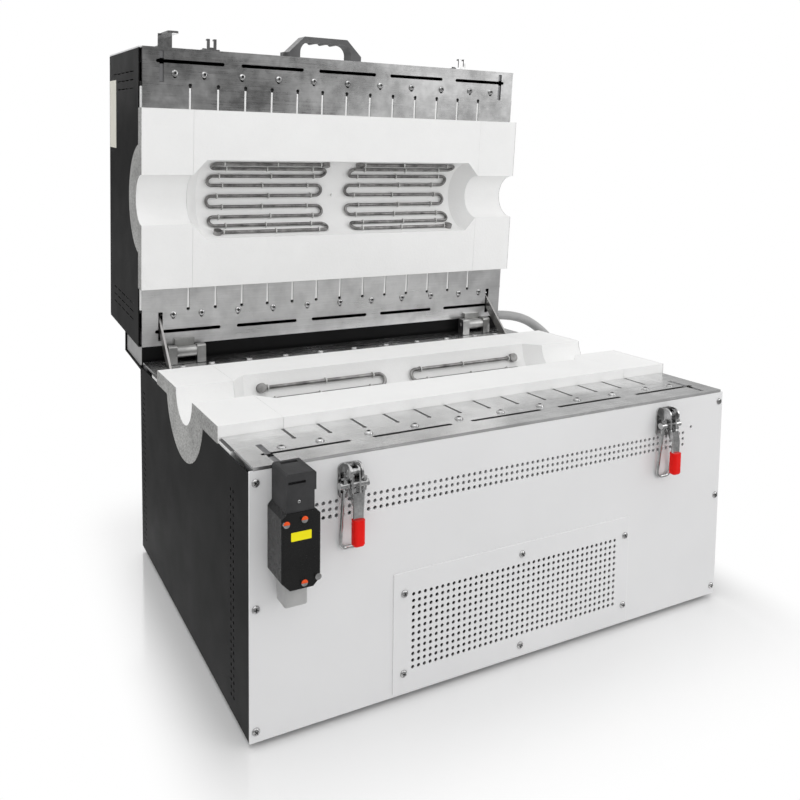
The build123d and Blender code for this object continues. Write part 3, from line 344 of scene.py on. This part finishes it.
conduit_grey, tree, shader, where = finish("conduit_grey")
marks = graded(tree, grain(tree, where, 35), (0.3, grey(0.42)), (0.75, grey(0.52)))
tree.links.new(marks, shader.inputs["Base Color"])
dulling = ranged(tree, grain(tree, where, 90), 0.38, 0.6)
tree.links.new(dulling, shader.inputs["Roughness"])
bumped(tree, shader, grain(tree, where, 900, 2), 0.25, 0.0004)

conduit = tube(
    "conduit_hose",
    resampled(conduit_line, RING_STEP),
    lambda i: CONDUIT_DIAMETER / 2 - (RIB_DEPTH if i % RIB_EVERY == 0 else 0),
    conduit_grey,
)
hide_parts("conduit")
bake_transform(conduit)
print("conduit mesh", len(conduit.data.vertices), "vertices")

# %% [markdown]
# ## Powder coat
#
# The casing is sheet steel with a baked powder coat: near white on the fronts, black elsewhere.
# Powder melts into a skin with a fine orange peel, which is what tells it from paint or plastic.
# A fine noise drives the bump, a slower one lets the gloss drift, and the edges are painted a
# little brighter as a painted highlight. The black coat gets less specular than the white, because
# it is
# the duller powder: a shiny black sheet would look grey in a pale studio.

# %% Powder coats
HIGHLIGHT_EDGE_RADIUS = 0.0012


def powder_coat(name, low, high, gloss, peel, specular):
    """Baked powder coat between two colours. gloss is its roughness, peel the depth of its skin."""
    material, tree, shader, where = finish(name)
    drift = graded(tree, grain(tree, where, 6, 3), (0.3, low), (0.7, high))
    # The lighter colour on the edges is a painted highlight.
    brighter = tuple(min(1.0, c * 1.12 + 0.012) for c in high)
    tint = mixed(tree, edge_highlight_mask(tree, HIGHLIGHT_EDGE_RADIUS), drift, (*brighter, 1))
    tree.links.new(tint, shader.inputs["Base Color"])
    sheen = ranged(tree, grain(tree, where, 22), gloss - 0.06, gloss + 0.08)
    tree.links.new(sheen, shader.inputs["Roughness"])
    shader.inputs["Specular IOR Level"].default_value = specular
    bumped(tree, shader, grain(tree, where, 700, 2), peel, 0.0003)
    return material


panel_white = powder_coat(
    "panel_white", (0.78, 0.78, 0.785), (0.82, 0.82, 0.825), gloss=0.40, peel=0.10, specular=0.4)
panel_black = powder_coat(
    "panel_black", (0.005, 0.005, 0.0052), (0.009, 0.009, 0.0093), gloss=0.44, peel=0.16,
    specular=0.09)
print("powder coats:", panel_white.name, panel_black.name)

# %% [markdown]
# ## Stainless plates
#
# Two long stainless plates close each half beside the insulation. They are rolled sheet: fine
# lines run along the sheet, and heat and cleaning leave soft cloudy patches that reflect unevenly.
# One noise, squeezed to a thousand lines a metre across the sheet, gives the grain. A cloudy noise
# moves both the tint and the roughness. The plate at the lid's front edge gets a darker tint and
# deeper, larger clouds than the one by the hinges and those of the base, as a painted darker
# reflection, and their bright tints paint in the white blocks that they mirror. That is why the
# recipe takes the depth and the size of the clouds as well as the tint.

# %% Stainless sheet
ROLLED = (12, 900, 900)


def stainless_sheet(name, along, tint, polish, cloud_depth=0.26, cloud_size=9):
    """Rolled stainless steel. along scales its grain on each axis, and clouds darken its tint."""
    material, tree, shader, where = finish(name)
    shader.inputs["Metallic"].default_value = 1.0
    streaked = node(tree, "Mapping", {"Vector": where, "Scale": along}).outputs["Vector"]
    lines = grain(tree, streaked, 1.0, 3, 0.7)
    clouds = grain(tree, where, cloud_size, 6, 0.62)
    clouded = tuple(c * (1 - cloud_depth) for c in tint)
    cloudy = graded(tree, clouds, (0.36, clouded), (0.64, tint))
    streaks = graded(tree, lines, (0.3, grey(0.88)), (0.7, WHITE))
    smeary = grain(tree, where, cloud_size * 5, 3, 0.5)
    smears = graded(tree, smeary, (0.35, grey(0.86)), (0.6, WHITE))
    lined = mixed(tree, 1.0, cloudy, streaks, "MULTIPLY")
    smeared = mixed(tree, 1.0, lined, smears, "MULTIPLY")
    tree.links.new(smeared, shader.inputs["Base Color"])
    dull = combined(tree, "ADD", clouds, lines)
    rough = ranged(tree, dull, polish, polish + 0.16, start=0.7, end=1.3)
    tree.links.new(rough, shader.inputs["Roughness"])
    bumped(tree, shader, lines, 0.1, 0.0001)
    return material


# The tints of these three plates are painted reflection: bright for the base plates and the lid's
# rear plate, dark with deeper clouds for the lid's front plate.
plate_steel = stainless_sheet("plate_steel", ROLLED, grey(0.92), 0.14, 0.16, 7)
dark_reflection_steel = stainless_sheet("dark_reflection_steel", ROLLED, grey(0.60), 0.22, 0.50, 15)
lid_plate_steel = stainless_sheet("lid_plate_steel", ROLLED, grey(0.84), 0.26, 0.16, 8)
frame_steel = stainless_sheet("frame_steel", (10, 700, 700), (0.42, 0.42, 0.43), 0.42)
stay_steel = stainless_sheet("stay_steel", (900, 60, 60), (0.58, 0.57, 0.56), 0.26)
print("stainless:", plate_steel.name, dark_reflection_steel.name, lid_plate_steel.name,
      frame_steel.name, stay_steel.name)

# %% [markdown]
# ## Fibre insulation
#
# The blocks are vacuum-formed ceramic fibre: chalk white, dead matt and soft enough to dent. The
# formed faces show short fibres and small pits, whose centres are painted a little darker as
# painted shade. The end blocks are sawn off flush with the casing, and those two cut faces are full
# of holes.
# Their grey and the dark in their holes are painted shade on the same white fibre. One recipe makes
# both looks. For the end blocks the two are mixed by place: everything further out than the saw's
# plane gets the cut look.
# The backing boards are seen only in the slits of the plates. In the base that packing is painted
# grey as painted shade deep in the slits, and in the lid it is painted near black at the end of
# each slit, as painted shade that reads as a small dark hole.

# %% Fibre materials
SAW_PLANE = 0.3246
FORMED_LOOK = ((0.92, 0.92, 0.915), (0.955, 0.955, 0.95), 330, (0.90, 0.90, 0.89))
# The grey of the cut look and the dark of its holes are painted shade.
SHADED_SAWN_LOOK = ((0.34, 0.34, 0.335), (0.56, 0.56, 0.55), 300, (0.25, 0.25, 0.24))


def fibre_look(tree, where, low, high, pits, hole):
    """The colour and the pit pattern of one kind of fibre face."""
    stains = graded(tree, grain(tree, where, 14, 6, 0.6), (0.28, low), (0.72, high))
    cells = node(tree, "TexVoronoi", {"Vector": where, "Scale": pits}).outputs["Distance"]
    # The darker centres of the pits are painted shade.
    holes = graded(tree, cells, (0.05, hole), (0.2, WHITE))
    return mixed(tree, 0.6, stains, holes, "MULTIPLY"), cells


def matt(tree, shader, colour, cells):
    """Gives a fibre its colour, its dullness and its pits."""
    tree.links.new(colour, shader.inputs["Base Color"])
    shader.inputs["Roughness"].default_value = 0.94
    shader.inputs["Specular IOR Level"].default_value = 0.2
    bumped(tree, shader, cells, 0.1, 0.0008)


def fibre(name, sawn=False):
    """Matt fibre board: wide stains, short fibres and small pits, with sawn ends painted grey as
    painted shade if asked for.
    """
    material, tree, shader, where = finish(name)
    colour, cells = fibre_look(tree, where, *FORMED_LOOK)
    if sawn:
        # The cut faces are painted grey as painted shade.
        cut, cells = fibre_look(tree, where, *SHADED_SAWN_LOOK)
        speckled = grain(tree, where, 420, 5, 0.7)
        specks = graded(tree, speckled, (0.36, (0.45, 0.45, 0.44)), (0.56, WHITE))
        cut = mixed(tree, 0.85, cut, specks, "MULTIPLY")
        across = node(tree, "SeparateXYZ", {"Vector": where}).outputs["X"]
        out = combined(tree, "ABSOLUTE", across)
        colour = mixed(tree, combined(tree, "GREATER_THAN", out, SAW_PLANE), colour, cut)
    bumped(tree, shader, grain(tree, where, 260, 6, 0.65), 0.2, 0.0012)
    matt(tree, shader, colour, cells)
    return material


def packing(name, low, high, tone):
    """Fibre board painted grey below one height and above another, as painted shade deep in the
    plates' slits.
    """
    material, tree, shader, where = finish(name)
    colour, cells = fibre_look(tree, where, *FORMED_LOOK)
    height = node(tree, "SeparateXYZ", {"Vector": where}).outputs["Z"]
    above = combined(tree, "GREATER_THAN", height, high)
    below = combined(tree, "LESS_THAN", height, low)
    shaded_part = combined(tree, "MAXIMUM", above, below)
    matt(tree, shader, mixed(tree, shaded_part, colour, (*grey(tone), 1)), cells)
    return material


# The grey base packing and the near-black ends of the lid packing are painted shade in the slits.
base_packing = packing("base_packing", -1.0, 0.2766, 0.16)
lid_packing = packing("lid_packing", 0.3552, 0.6748, 0.03)
formed_fibre = fibre("formed_fibre")
sawn_fibre = fibre("sawn_fibre", sawn=True)
print("fibre:", formed_fibre.name, sawn_fibre.name, base_packing.name, lid_packing.name)

# %% [markdown]
# ## Element wire and bright fittings
#
# The heating rods are resistance wire that has been fired, so the metal is grey and half matt with
# darker patches. The clamps and catches are polished steel and the hinges are dull zinc plate. All
# are the same shader with other numbers: how dark, how rough, and how blotchy.

# %% Bare metals
def bare_metal(name, low, high, rough, blotch, pitting=0.05):
    """A solid metal between two greys, with patches blotch times a metre."""
    material, tree, shader, where = finish(name)
    shader.inputs["Metallic"].default_value = 1.0
    patches = grain(tree, where, blotch, 5, 0.6)
    tint = graded(tree, patches, (0.3, low), (0.7, high))
    tree.links.new(tint, shader.inputs["Base Color"])
    tree.links.new(ranged(tree, patches, rough + 0.1, rough), shader.inputs["Roughness"])
    bumped(tree, shader, grain(tree, where, 1200, 3), pitting, 0.0002)
    return material


element_wire = bare_metal("element_wire", (0.13, 0.127, 0.125), (0.40, 0.395, 0.39), 0.30, 60, 0.2)
bright_steel = bare_metal("bright_steel", grey(0.36), grey(0.72), 0.10, 110)
zinc_plate = bare_metal("zinc_plate", (0.32, 0.32, 0.315), (0.50, 0.50, 0.49), 0.30, 45, 0.12)
# This near-black metal for the screws' recesses is painted shade.
recess_shade_dark = bare_metal("recess_shade_dark", grey(0.03), grey(0.08), 0.40, 90)
print("bare metals:", element_wire.name, bright_steel.name, zinc_plate.name, recess_shade_dark.name)

# %% [markdown]
# ## Moulded plastics and rubber
#
# The grips are dipped vinyl in signal red, the switch body is glossy black, and the carry handle
# and the switch's head are a dark grey nylon with a spark-eroded texture. Moulded plastic shows its
# tool: a fine even grain, never a scratch direction, so a round noise is enough for each.

# %% Plastics
def moulded(name, low, high, rough, texture, depth, coat=0.0, specular=0.5):
    """Moulded plastic with an even grain of the given scale and depth."""
    material, tree, shader, where = finish(name)
    tint = graded(tree, grain(tree, where, 40, 3), (0.3, low), (0.7, high))
    tree.links.new(tint, shader.inputs["Base Color"])
    even = ranged(tree, grain(tree, where, 120), rough - 0.05, rough + 0.07)
    tree.links.new(even, shader.inputs["Roughness"])
    shader.inputs["Coat Weight"].default_value = coat
    shader.inputs["Specular IOR Level"].default_value = specular
    shader.inputs["Coat Roughness"].default_value = 0.06
    bumped(tree, shader, grain(tree, where, texture, 2), depth, 0.0003)
    return material


grip_red = moulded(
    "grip_red", (0.76, 0.006, 0.004), (0.86, 0.010, 0.006), 0.40, 500, 0.12, specular=0.16)
switch_black = moulded(
    "switch_black", grey(0.006), grey(0.010), 0.26, 700, 0.05, coat=0.1, specular=0.3)
nylon_grey = moulded(
    "nylon_grey", (0.038, 0.038, 0.039), (0.060, 0.060, 0.062), 0.50, 900, 0.35, specular=0.1)
handle_grey = moulded(
    "handle_grey", (0.085, 0.085, 0.087), (0.125, 0.125, 0.127), 0.46, 900, 0.35)
plug_grey = moulded("plug_grey", grey(0.36), (0.46, 0.46, 0.455), 0.40, 600, 0.2)
foot_rubber = moulded("foot_rubber", grey(0.018), grey(0.03), 0.75, 800, 0.4)
tool_orange = moulded(
    "tool_orange", (0.85, 0.08, 0.010), (0.92, 0.11, 0.015), 0.40, 600, 0.08, coat=0.1,
    specular=0.25)
staple_white = moulded("staple_white", (0.62, 0.62, 0.61), (0.80, 0.80, 0.79), 0.6, 900, 0.3)
label_cream = moulded("label_cream", (0.80, 0.78, 0.68), (0.86, 0.84, 0.75), 0.55, 400, 0.1)
label_yellow = moulded(
    "label_yellow", (0.92, 0.80, 0.004), (0.96, 0.86, 0.008), 0.42, 400, 0.06, specular=0.2)
print("plastics:", grip_red.name, switch_black.name, nylon_grey.name, "and seven more")

# %% [markdown]
# ## Screw heads
#
# Small bright screws are what an eye checks first, and a plain disc gives a model away. The real
# ones are pan heads with a cross recess on the panels, and button heads with a round socket on the
# heat plates, where the outermost ones are flatter. A boolean cut on every head would be slow, so
# each head is one round grid of vertices whose height comes from a formula: a dome, less the
# recess. The faces in the recess get a near-black metal as painted shade, and all heads of a group
# share one mesh.

# %% One head as a round grid
HEAD_RINGS, HEAD_SIDES = 22, 40
TINY_CENTRE = 0.02
SHANK_DROP = 0.004
FLAT_BEYOND, FLAT_SHARE = 0.27, 0.62
CROSS_REACH, CROSS_WIDTH, SOCKET_SHARE = 0.56, 0.15, 0.38

# A style is a head's radius and rise, its recess, how deep that is, and the shank's radius.
PAN_HEAD = (0.0042, 0.0022, "cross", 0.0011, 0.002)
BUTTON_HEAD = (0.0050, 0.0030, "socket", 0.0014, 0.0025)
SMALL_HEAD = (0.0017, 0.0008, "cross", 0.0004, 0.001)


def head_height(radius, rise, recess, depth, x, y):
    """Height of a domed head at a place on it, and whether that place is in the recess."""
    share = min(1.0, math.hypot(x, y) / radius)
    dome = rise * math.sqrt(max(0.0, 1 - share**2.6))
    if recess == "cross":
        arm, width = radius * CROSS_REACH, radius * CROSS_WIDTH
        inside = (abs(x) < arm and abs(y) < width) or (abs(y) < arm and abs(x) < width)
    else:
        inside = math.hypot(x, y) < radius * SOCKET_SHARE
    return (dome - depth if inside else dome), inside


def add_heads(name, seats, style, node_name, body):
    """Domed heads on every seat. A seat is a place, the way out of the sheet, and a turn."""
    radius, full_rise, recess, depth, shank = style
    built = bmesh.new()
    for place, out, turn in seats:
        flat = recess == "socket" and abs(place[0]) > FLAT_BEYOND
        rise = full_rise * (FLAT_SHARE if flat else 1)
        out = Vector(out).normalized()
        first = out.orthogonal().normalized()
        first.rotate(Matrix.Rotation(turn, 3, out))
        second = out.cross(first)
        place = Vector(place)
        rows = []
        for i in range(HEAD_RINGS + 1):
            far = radius * max(i, TINY_CENTRE) / HEAD_RINGS
            row = []
            for c, s in around(HEAD_SIDES):
                x, y = far * c, far * s
                height, inside = head_height(radius, rise, recess, depth, x, y)
                row.append((built.verts.new(place + first * x + second * y + out * height), inside))
            rows.append(row)
        for drop in (0.0, SHANK_DROP):
            rows.append([(built.verts.new(place + (first * c + second * s) * shank - out * drop),
                          False) for c, s in around(HEAD_SIDES)])
        for low, high in zip(rows, rows[1:]):
            for k in range(HEAD_SIDES):
                following = (k + 1) % HEAD_SIDES
                corners = [low[k], high[k], high[following], low[following]]
                face = built.faces.new([corner[0] for corner in corners])
                # Faces in the recess take the second material, near-black metal as painted shade.
                face.material_index = 1 if sum(corner[1] for corner in corners) > 1 else 0
                face.smooth = True
        built.faces.new([corner[0] for corner in rows[0]][::-1]).material_index = 1
        built.faces.new([corner[0] for corner in rows[-1]])
    bmesh.ops.recalc_face_normals(built, faces=built.faces)
    mesh = stored(name, built)
    mesh.materials.append(bright_steel)
    mesh.materials.append(recess_shade_dark)
    heads = bpy.data.objects.new(name, mesh)
    bpy.context.scene.collection.objects.link(heads)
    if node_name:
        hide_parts(node_name)
    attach(heads, body)
    return heads


print("screw heads ready")

# %% [markdown]
# The seats are read from the solids: each screw of a CAD node is an island of its mesh, so the
# middle of each island is where a head goes. That keeps the heads on their holes without copying a
# list of places, and works the same for the front panel, which faces the front, and the plates.

# %% Seats from the islands of a node
OPEN_DEGREES = 86.4
LID_LEAN = math.radians(90 - OPEN_DEGREES)
FRONT, ABOVE = (0, -1, 0), (0, 0, 1)
LID_OUT = (0, -math.cos(LID_LEAN), math.sin(LID_LEAN))
SAME_POINT = 0.00002
RIM_DEPTH = 0.0001
TURN_EACH = 0.7


def islands(piece):
    """The vertices of each separate shell, always in the mesh's own order."""
    built = bmesh.new()
    built.from_mesh(piece.data)
    bmesh.ops.remove_doubles(built, verts=built.verts, dist=SAME_POINT)
    built.verts.index_update()
    taken, found = set(), []
    for start in built.verts:
        if start.index in taken:
            continue
        taken.add(start.index)
        shell = [start]
        for vertex in shell:
            for edge in vertex.link_edges:
                other = edge.other_vert(vertex)
                if other.index not in taken:
                    taken.add(other.index)
                    shell.append(other)
        found.append([vertex.co.copy() for vertex in shell])
    built.free()
    return found


def seats_of(piece, out, head):
    """A seat at each screw of a node: its head's underside, head deep behind the outermost."""
    out = Vector(out).normalized()
    seats = []
    for i, shell in enumerate(islands(piece)):
        outermost = max(point.dot(out) for point in shell)
        rim = [point for point in shell if point.dot(out) > outermost - RIM_DEPTH]
        middle = sum(rim, Vector()) / len(rim)
        seats.append((middle - out * head, out, TURN_EACH * i))
    return seats


SCREWED = {
    "panel_screws": ("panel_screw_heads", FRONT, PAN_HEAD, "base"),
    "base_plate_bolts": ("base_bolt_heads", ABOVE, BUTTON_HEAD, "base"),
    "lid_plate_bolts": ("lid_bolt_heads", LID_OUT, BUTTON_HEAD, "lid"),
}
for node_name, (name, out, style, body) in SCREWED.items():
    seats = seats_of(nodes[node_name], out, style[1])
    add_heads(name, seats, style, node_name, body)
    print(name, len(seats), "heads")

# %% [markdown]
# ## Blank labels and dabs of paint
#
# A cream paper label is stuck on the lid's left side and a yellow one on the switch. They stay
# blank here. A label is a thin card with round corners, not a painted patch, because its edge
# catches the light. Three of the switch's screws carry an orange dab on their upper half, as a
# fitter marks a screw that has been set, and one small screw holds the switch's head.

# %% Cards
CARD_THICK = 0.00015
CORNER_STEPS = 6
HINGE_Y, HINGE_Z = 0.13045, 0.29175
LID_LABEL_X, LID_LABEL_SHUT, LID_LABEL_SIZE = -0.32505, (-0.160, 0.5172), (0.050, 0.106)
SWITCH_LABEL_INSET, SWITCH_LABEL_DROP, SWITCH_LABEL_SIZE = 0.0089, 0.0268, (0.0206, 0.0084)
PROUD = 0.00005


def card(name, corner, along, up, size, rounding, material, body):
    """A thin card with round corners. corner is its lowest corner, along and up its directions."""
    along, up = Vector(along).normalized(), Vector(up).normalized()
    out = along.cross(up)
    ring = []
    for quarter, (x, y) in enumerate(((1, 0), (1, 1), (0, 1), (0, 0))):
        middle_x = x * size[0] + (1 - 2 * x) * rounding
        middle_y = y * size[1] + (1 - 2 * y) * rounding
        for step in range(CORNER_STEPS + 1):
            angle = math.pi / 2 * (quarter - 1 + step / CORNER_STEPS)
            ring.append((middle_x + rounding * math.cos(angle),
                         middle_y + rounding * math.sin(angle)))
    built = bmesh.new()
    layers = [[built.verts.new(Vector(corner) + along * x + up * y + out * height) for x, y in ring]
              for height in (0, CARD_THICK)]
    for k in range(len(ring)):
        after = (k + 1) % len(ring)
        built.faces.new((layers[0][k], layers[0][after], layers[1][after], layers[1][k]))
    built.faces.new(layers[0][::-1])
    built.faces.new(layers[1])
    thing = link(name, stored(name, built), material, smooth=False)
    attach(thing, body)
    return thing


def on_open_lid(y, z):
    """Where a point of the shut lid is with the lid open, as the furnace stands here."""
    back, high = y - HINGE_Y, z - HINGE_Z
    swing = math.radians(OPEN_DEGREES)
    return (HINGE_Y + back * math.cos(swing) + high * math.sin(swing),
            HINGE_Z - back * math.sin(swing) + high * math.cos(swing))


card("lid_label", (LID_LABEL_X, *on_open_lid(*LID_LABEL_SHUT)),
     (0, -math.cos(LID_LEAN), -math.sin(LID_LEAN)), (0, -math.sin(LID_LEAN), math.cos(LID_LEAN)),
     LID_LABEL_SIZE, 0.001, label_cream, "lid")
switch_low, switch_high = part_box("switch_body")
switch_corner = (switch_low[0] + SWITCH_LABEL_INSET, switch_low[1] - PROUD,
                 switch_high[2] - SWITCH_LABEL_DROP)
card("switch_label", switch_corner, (1, 0, 0), ABOVE, SWITCH_LABEL_SIZE, 0.0008, label_yellow,
     "base")
print("labels on the lid and on the switch, at", [round(v, 4) for v in switch_corner])

# %% Orange dabs and the small screw
DAB_RADIUS, DAB_THICK = 0.0034, 0.0007
DAB_RINGS, DAB_SIDES = 5, 12
PAINTED, SWITCH_MIDDLE = 3, 0.2
SMALL_SCREW_INSET, SMALL_SCREW_RISE, SMALL_SCREW_PROUD = 0.0125, 0.0096, 0.00002


def dab(name, seat):
    """A half round of thick paint over the upper half of a screw head."""
    x, y, z = seat
    built = bmesh.new()
    rings = []
    for i in range(DAB_RINGS + 1):
        lean = math.pi / 2 * i / DAB_RINGS
        reach, out = DAB_RADIUS * math.cos(lean), DAB_THICK * math.sin(lean)
        turns = [math.pi * k / DAB_SIDES for k in range(DAB_SIDES + 1)]
        rings.append([built.verts.new((x + reach * math.cos(turn), y - out,
                                       z + reach * math.sin(turn))) for turn in turns])
    for inner, outer in zip(rings, rings[1:]):
        for k in range(DAB_SIDES):
            built.faces.new((inner[k], inner[k + 1], outer[k + 1], outer[k]))
    bmesh.ops.remove_doubles(built, verts=built.verts, dist=0.00001)
    bmesh.ops.holes_fill(built, edges=[e for e in built.edges if e.is_boundary], sides=0)
    bmesh.ops.recalc_face_normals(built, faces=built.faces)
    thing = link(name, stored(name, built), tool_orange)
    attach(thing, "base")
    return thing


screw_seats = seats_of(nodes["switch_screws"], FRONT, 0.0)
screw_places = sorted((seat[0] for seat in screw_seats),
                      key=lambda place: (place.z < SWITCH_MIDDLE, place.x))
for i, place in enumerate(screw_places[:PAINTED]):
    dab(f"screw_dab_{i}", place)
    print("dab at", tuple(round(v, 4) for v in place))
head_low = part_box("switch_head")[0]
small_seat = (head_low[0] + SMALL_SCREW_INSET, head_low[1] - SMALL_SCREW_PROUD,
              head_low[2] + SMALL_SCREW_RISE)
add_heads("switch_head_screw", [(small_seat, FRONT, 0.3)], SMALL_HEAD, None, "base")
print("small screw at", [round(v, 4) for v in small_seat])

# %% [markdown]
# ## Dressing the solids
#
# Each CAD node keeps its shape and takes the material of the real piece. The table below reads like
# a cutting list: a finish, then the nodes that have it.

# %% Materials for the solids
DRESSED = {
    panel_white: ["base_front_panel", "lid_front_panel", "access_panel"],
    panel_black: ["base_left_panel", "base_right_panel", "base_rear_panel", "lid_left_panel",
                  "lid_right_panel", "lid_rear_panel", "lid_top_cover", "rear_duct"],
    plate_steel: ["base_front_plate", "base_rear_plate"],
    dark_reflection_steel: ["lid_front_plate"],
    lid_plate_steel: ["lid_rear_plate"],
    frame_steel: ["base_tray", "base_frame", "lid_frame"],
    stay_steel: ["stay_left", "stay_right"],
    formed_fibre: ["base_ceramic_centre", "lid_ceramic_centre", "lid_thermocouple",
                   "terminal_block"],
    base_packing: ["base_backing"],
    lid_packing: ["lid_backing"],
    sawn_fibre: ["base_ceramic_ends", "lid_ceramic_ends"],
    element_wire: ["base_element_left", "base_element_right", "lid_element_left",
                   "lid_element_right"],
    staple_white: ["base_element_staples", "lid_element_staples"],
    bright_steel: ["clamp_brackets", "clamp_lever_left", "clamp_lever_right", "clamp_ubolt_left",
                   "clamp_ubolt_right", "catch_hooks", "safety_key", "switch_screws"],
    zinc_plate: ["base_hinge_leaves", "lid_hinge_leaves", "hinge_pins"],
    grip_red: ["clamp_grip_left", "clamp_grip_right"],
    switch_black: ["switch_body"],
    nylon_grey: ["switch_head"],
    handle_grey: ["carry_handle"],
    plug_grey: ["switch_plug", "rear_duct_ends", "lid_conduit_gland", "base_conduit_gland",
                "power_glands"],
    foot_rubber: ["base_feet"],
}
for material, names in DRESSED.items():
    for name in names:
        piece = nodes[name]
        piece.data.materials.clear()
        piece.data.materials.append(material)
dressed = {name for names in DRESSED.values() for name in names}
undressed = sorted(set(nodes) - dressed - {"conduit", *SCREWED})
print(len(dressed), "solids dressed, left over:", undressed)

# %% [markdown]
# ## Floor and backdrop
#
# A plain pale floor carries the furnace. Close by it is a real surface, which keeps the contact
# shadow and a faint mirror image of the front panel. A little further out it fades to plain white,
# so no horizon shows. The fade is measured from the furnace's footprint, not from its middle,
# because a long box would otherwise lose its shadow at the ends first, and it is quicker to the
# left and the right than to the front.

# %% Floor
FOOT_MIDDLE, FOOT_REACH = (0.0, -0.06, 0.0), (0.325, 0.258, 0.0)
FADE_SPEED = (3.4, 1.7, 1.0)
FADE_START, FADE_END = 0.01, 0.34
MIRRORED_WHITE = 0.4
FLOOR_RADIUS = 14

floor_white, tree, shader, where = finish("floor_white")
shader.inputs["Base Color"].default_value = (*grey(0.93), 1)
shader.inputs["Roughness"].default_value = 0.12
shader.inputs["Specular IOR Level"].default_value = 0.5
aside = vector(tree, "ABSOLUTE", vector(tree, "SUBTRACT", where, FOOT_MIDDLE))
outside = vector(tree, "MAXIMUM", vector(tree, "SUBTRACT", aside, FOOT_REACH), (0, 0, 0))
far = vector(tree, "LENGTH", vector(tree, "MULTIPLY", outside, FADE_SPEED), output="Value")
fade = ranged(tree, far, 0.0, 1.0, start=FADE_START, end=FADE_END,
              interpolation_type="SMOOTHSTEP")
path = node(tree, "LightPath")
glare = ranged(tree, path.outputs["Is Glossy Ray"], 1.0, MIRRORED_WHITE)
white = node(tree, "Emission", {"Color": (*WHITE, 1), "Strength": glare}).outputs["Emission"]
seen = combined(tree, "MAXIMUM", path.outputs["Is Camera Ray"], path.outputs["Is Glossy Ray"])
amount = combined(tree, "MULTIPLY", seen, fade)
surface = node(tree, "MixShader", {0: amount, 1: shader.outputs["BSDF"], 2: white})
output = tree.nodes["Material Output"]
tree.links.new(surface.outputs["Shader"], output.inputs["Surface"])

disc = bmesh.new()
bmesh.ops.create_circle(disc, cap_ends=True, segments=128, radius=FLOOR_RADIUS)
floor = link("floor", stored("floor", disc), floor_white)
floor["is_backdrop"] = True
print("floor of", round(floor.data.polygons[0].area), "square metres")

# %% [markdown]
# ## Light
#
# The studio light is soft and from all round: a pale world does most of the work. A large, weak
# lamp over the left shoulder lights the tops and the lid, one at the right evens out the front,
# and a third stands at the back, so that the black rear panels show their seams. The camera sees
# plain white behind the furnace. Polished steel needs something to mirror, though, and in plain
# white it looks like paper, so for glossy rays the world is dark near the horizon and pale
# overhead, like a room with a bright ceiling.

# %% World and lamps
WORLD_LEVEL = 0.80
HORIZON_LEVEL, CEILING_LEVEL = 0.16, 0.95

world = bpy.data.worlds.new("studio")
bpy.context.scene.world = world
world.use_nodes = True
tree = world.node_tree
ground = tree.nodes["Background"]
path = node(tree, "LightPath")
sky = node(tree, "TexCoord").outputs["Generated"]
skyward = node(tree, "SeparateXYZ", {"Vector": sky}).outputs["Z"]
ceiling = ranged(tree, skyward, HORIZON_LEVEL, CEILING_LEVEL, start=0.02, end=0.6,
                 interpolation_type="SMOOTHSTEP")
mirrored = ranged(tree, path.outputs["Is Glossy Ray"], WORLD_LEVEL, ceiling)
seen = combined(tree, "MAXIMUM", path.outputs["Is Camera Ray"],
                path.outputs["Is Transmission Ray"])
tree.links.new(ranged(tree, seen, mirrored, 1.0), ground.inputs["Strength"])
ground.inputs["Color"].default_value = (*WHITE, 1)


def lamp(name, place, aim, size, power):
    """A soft box that points at a place."""
    light = bpy.data.lights.new(name, "AREA")
    light.shape = "RECTANGLE"
    light.size, light.size_y = size
    light.energy = power
    holder = bpy.data.objects.new(name, light)
    holder.location = place
    facing = Vector(aim) - Vector(place)
    holder.rotation_euler = facing.to_track_quat("-Z", "Y").to_euler()
    bpy.context.scene.collection.objects.link(holder)
    return holder


lamp("overhead_soft_box", (-0.5, -0.9, 2.4), (0, 0, 0.3), (1.8, 1.4), 7)
lamp("front_soft_box", (2.1, -2.3, 1.2), (0.1, -0.2, 0.3), (1.6, 1.6), 14)
lamp("rear_soft_box", (0.3, 2.6, 1.5), (0, 0.2, 0.4), (2.0, 1.4), 16)
bpy.context.scene.view_settings.view_transform = "Standard"

# %% [markdown]
# ## Check the size
#
# The dressed furnace has to stay inside the solids' box, give or take a dab of paint. The growth of
# the box on each side is printed.

# %% Sizes
dressed_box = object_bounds()
growth = [tuple(round(b - a, 5) for a, b in zip(c, d)) for c, d in zip(cad_box, dressed_box)]
print("grown by", growth)
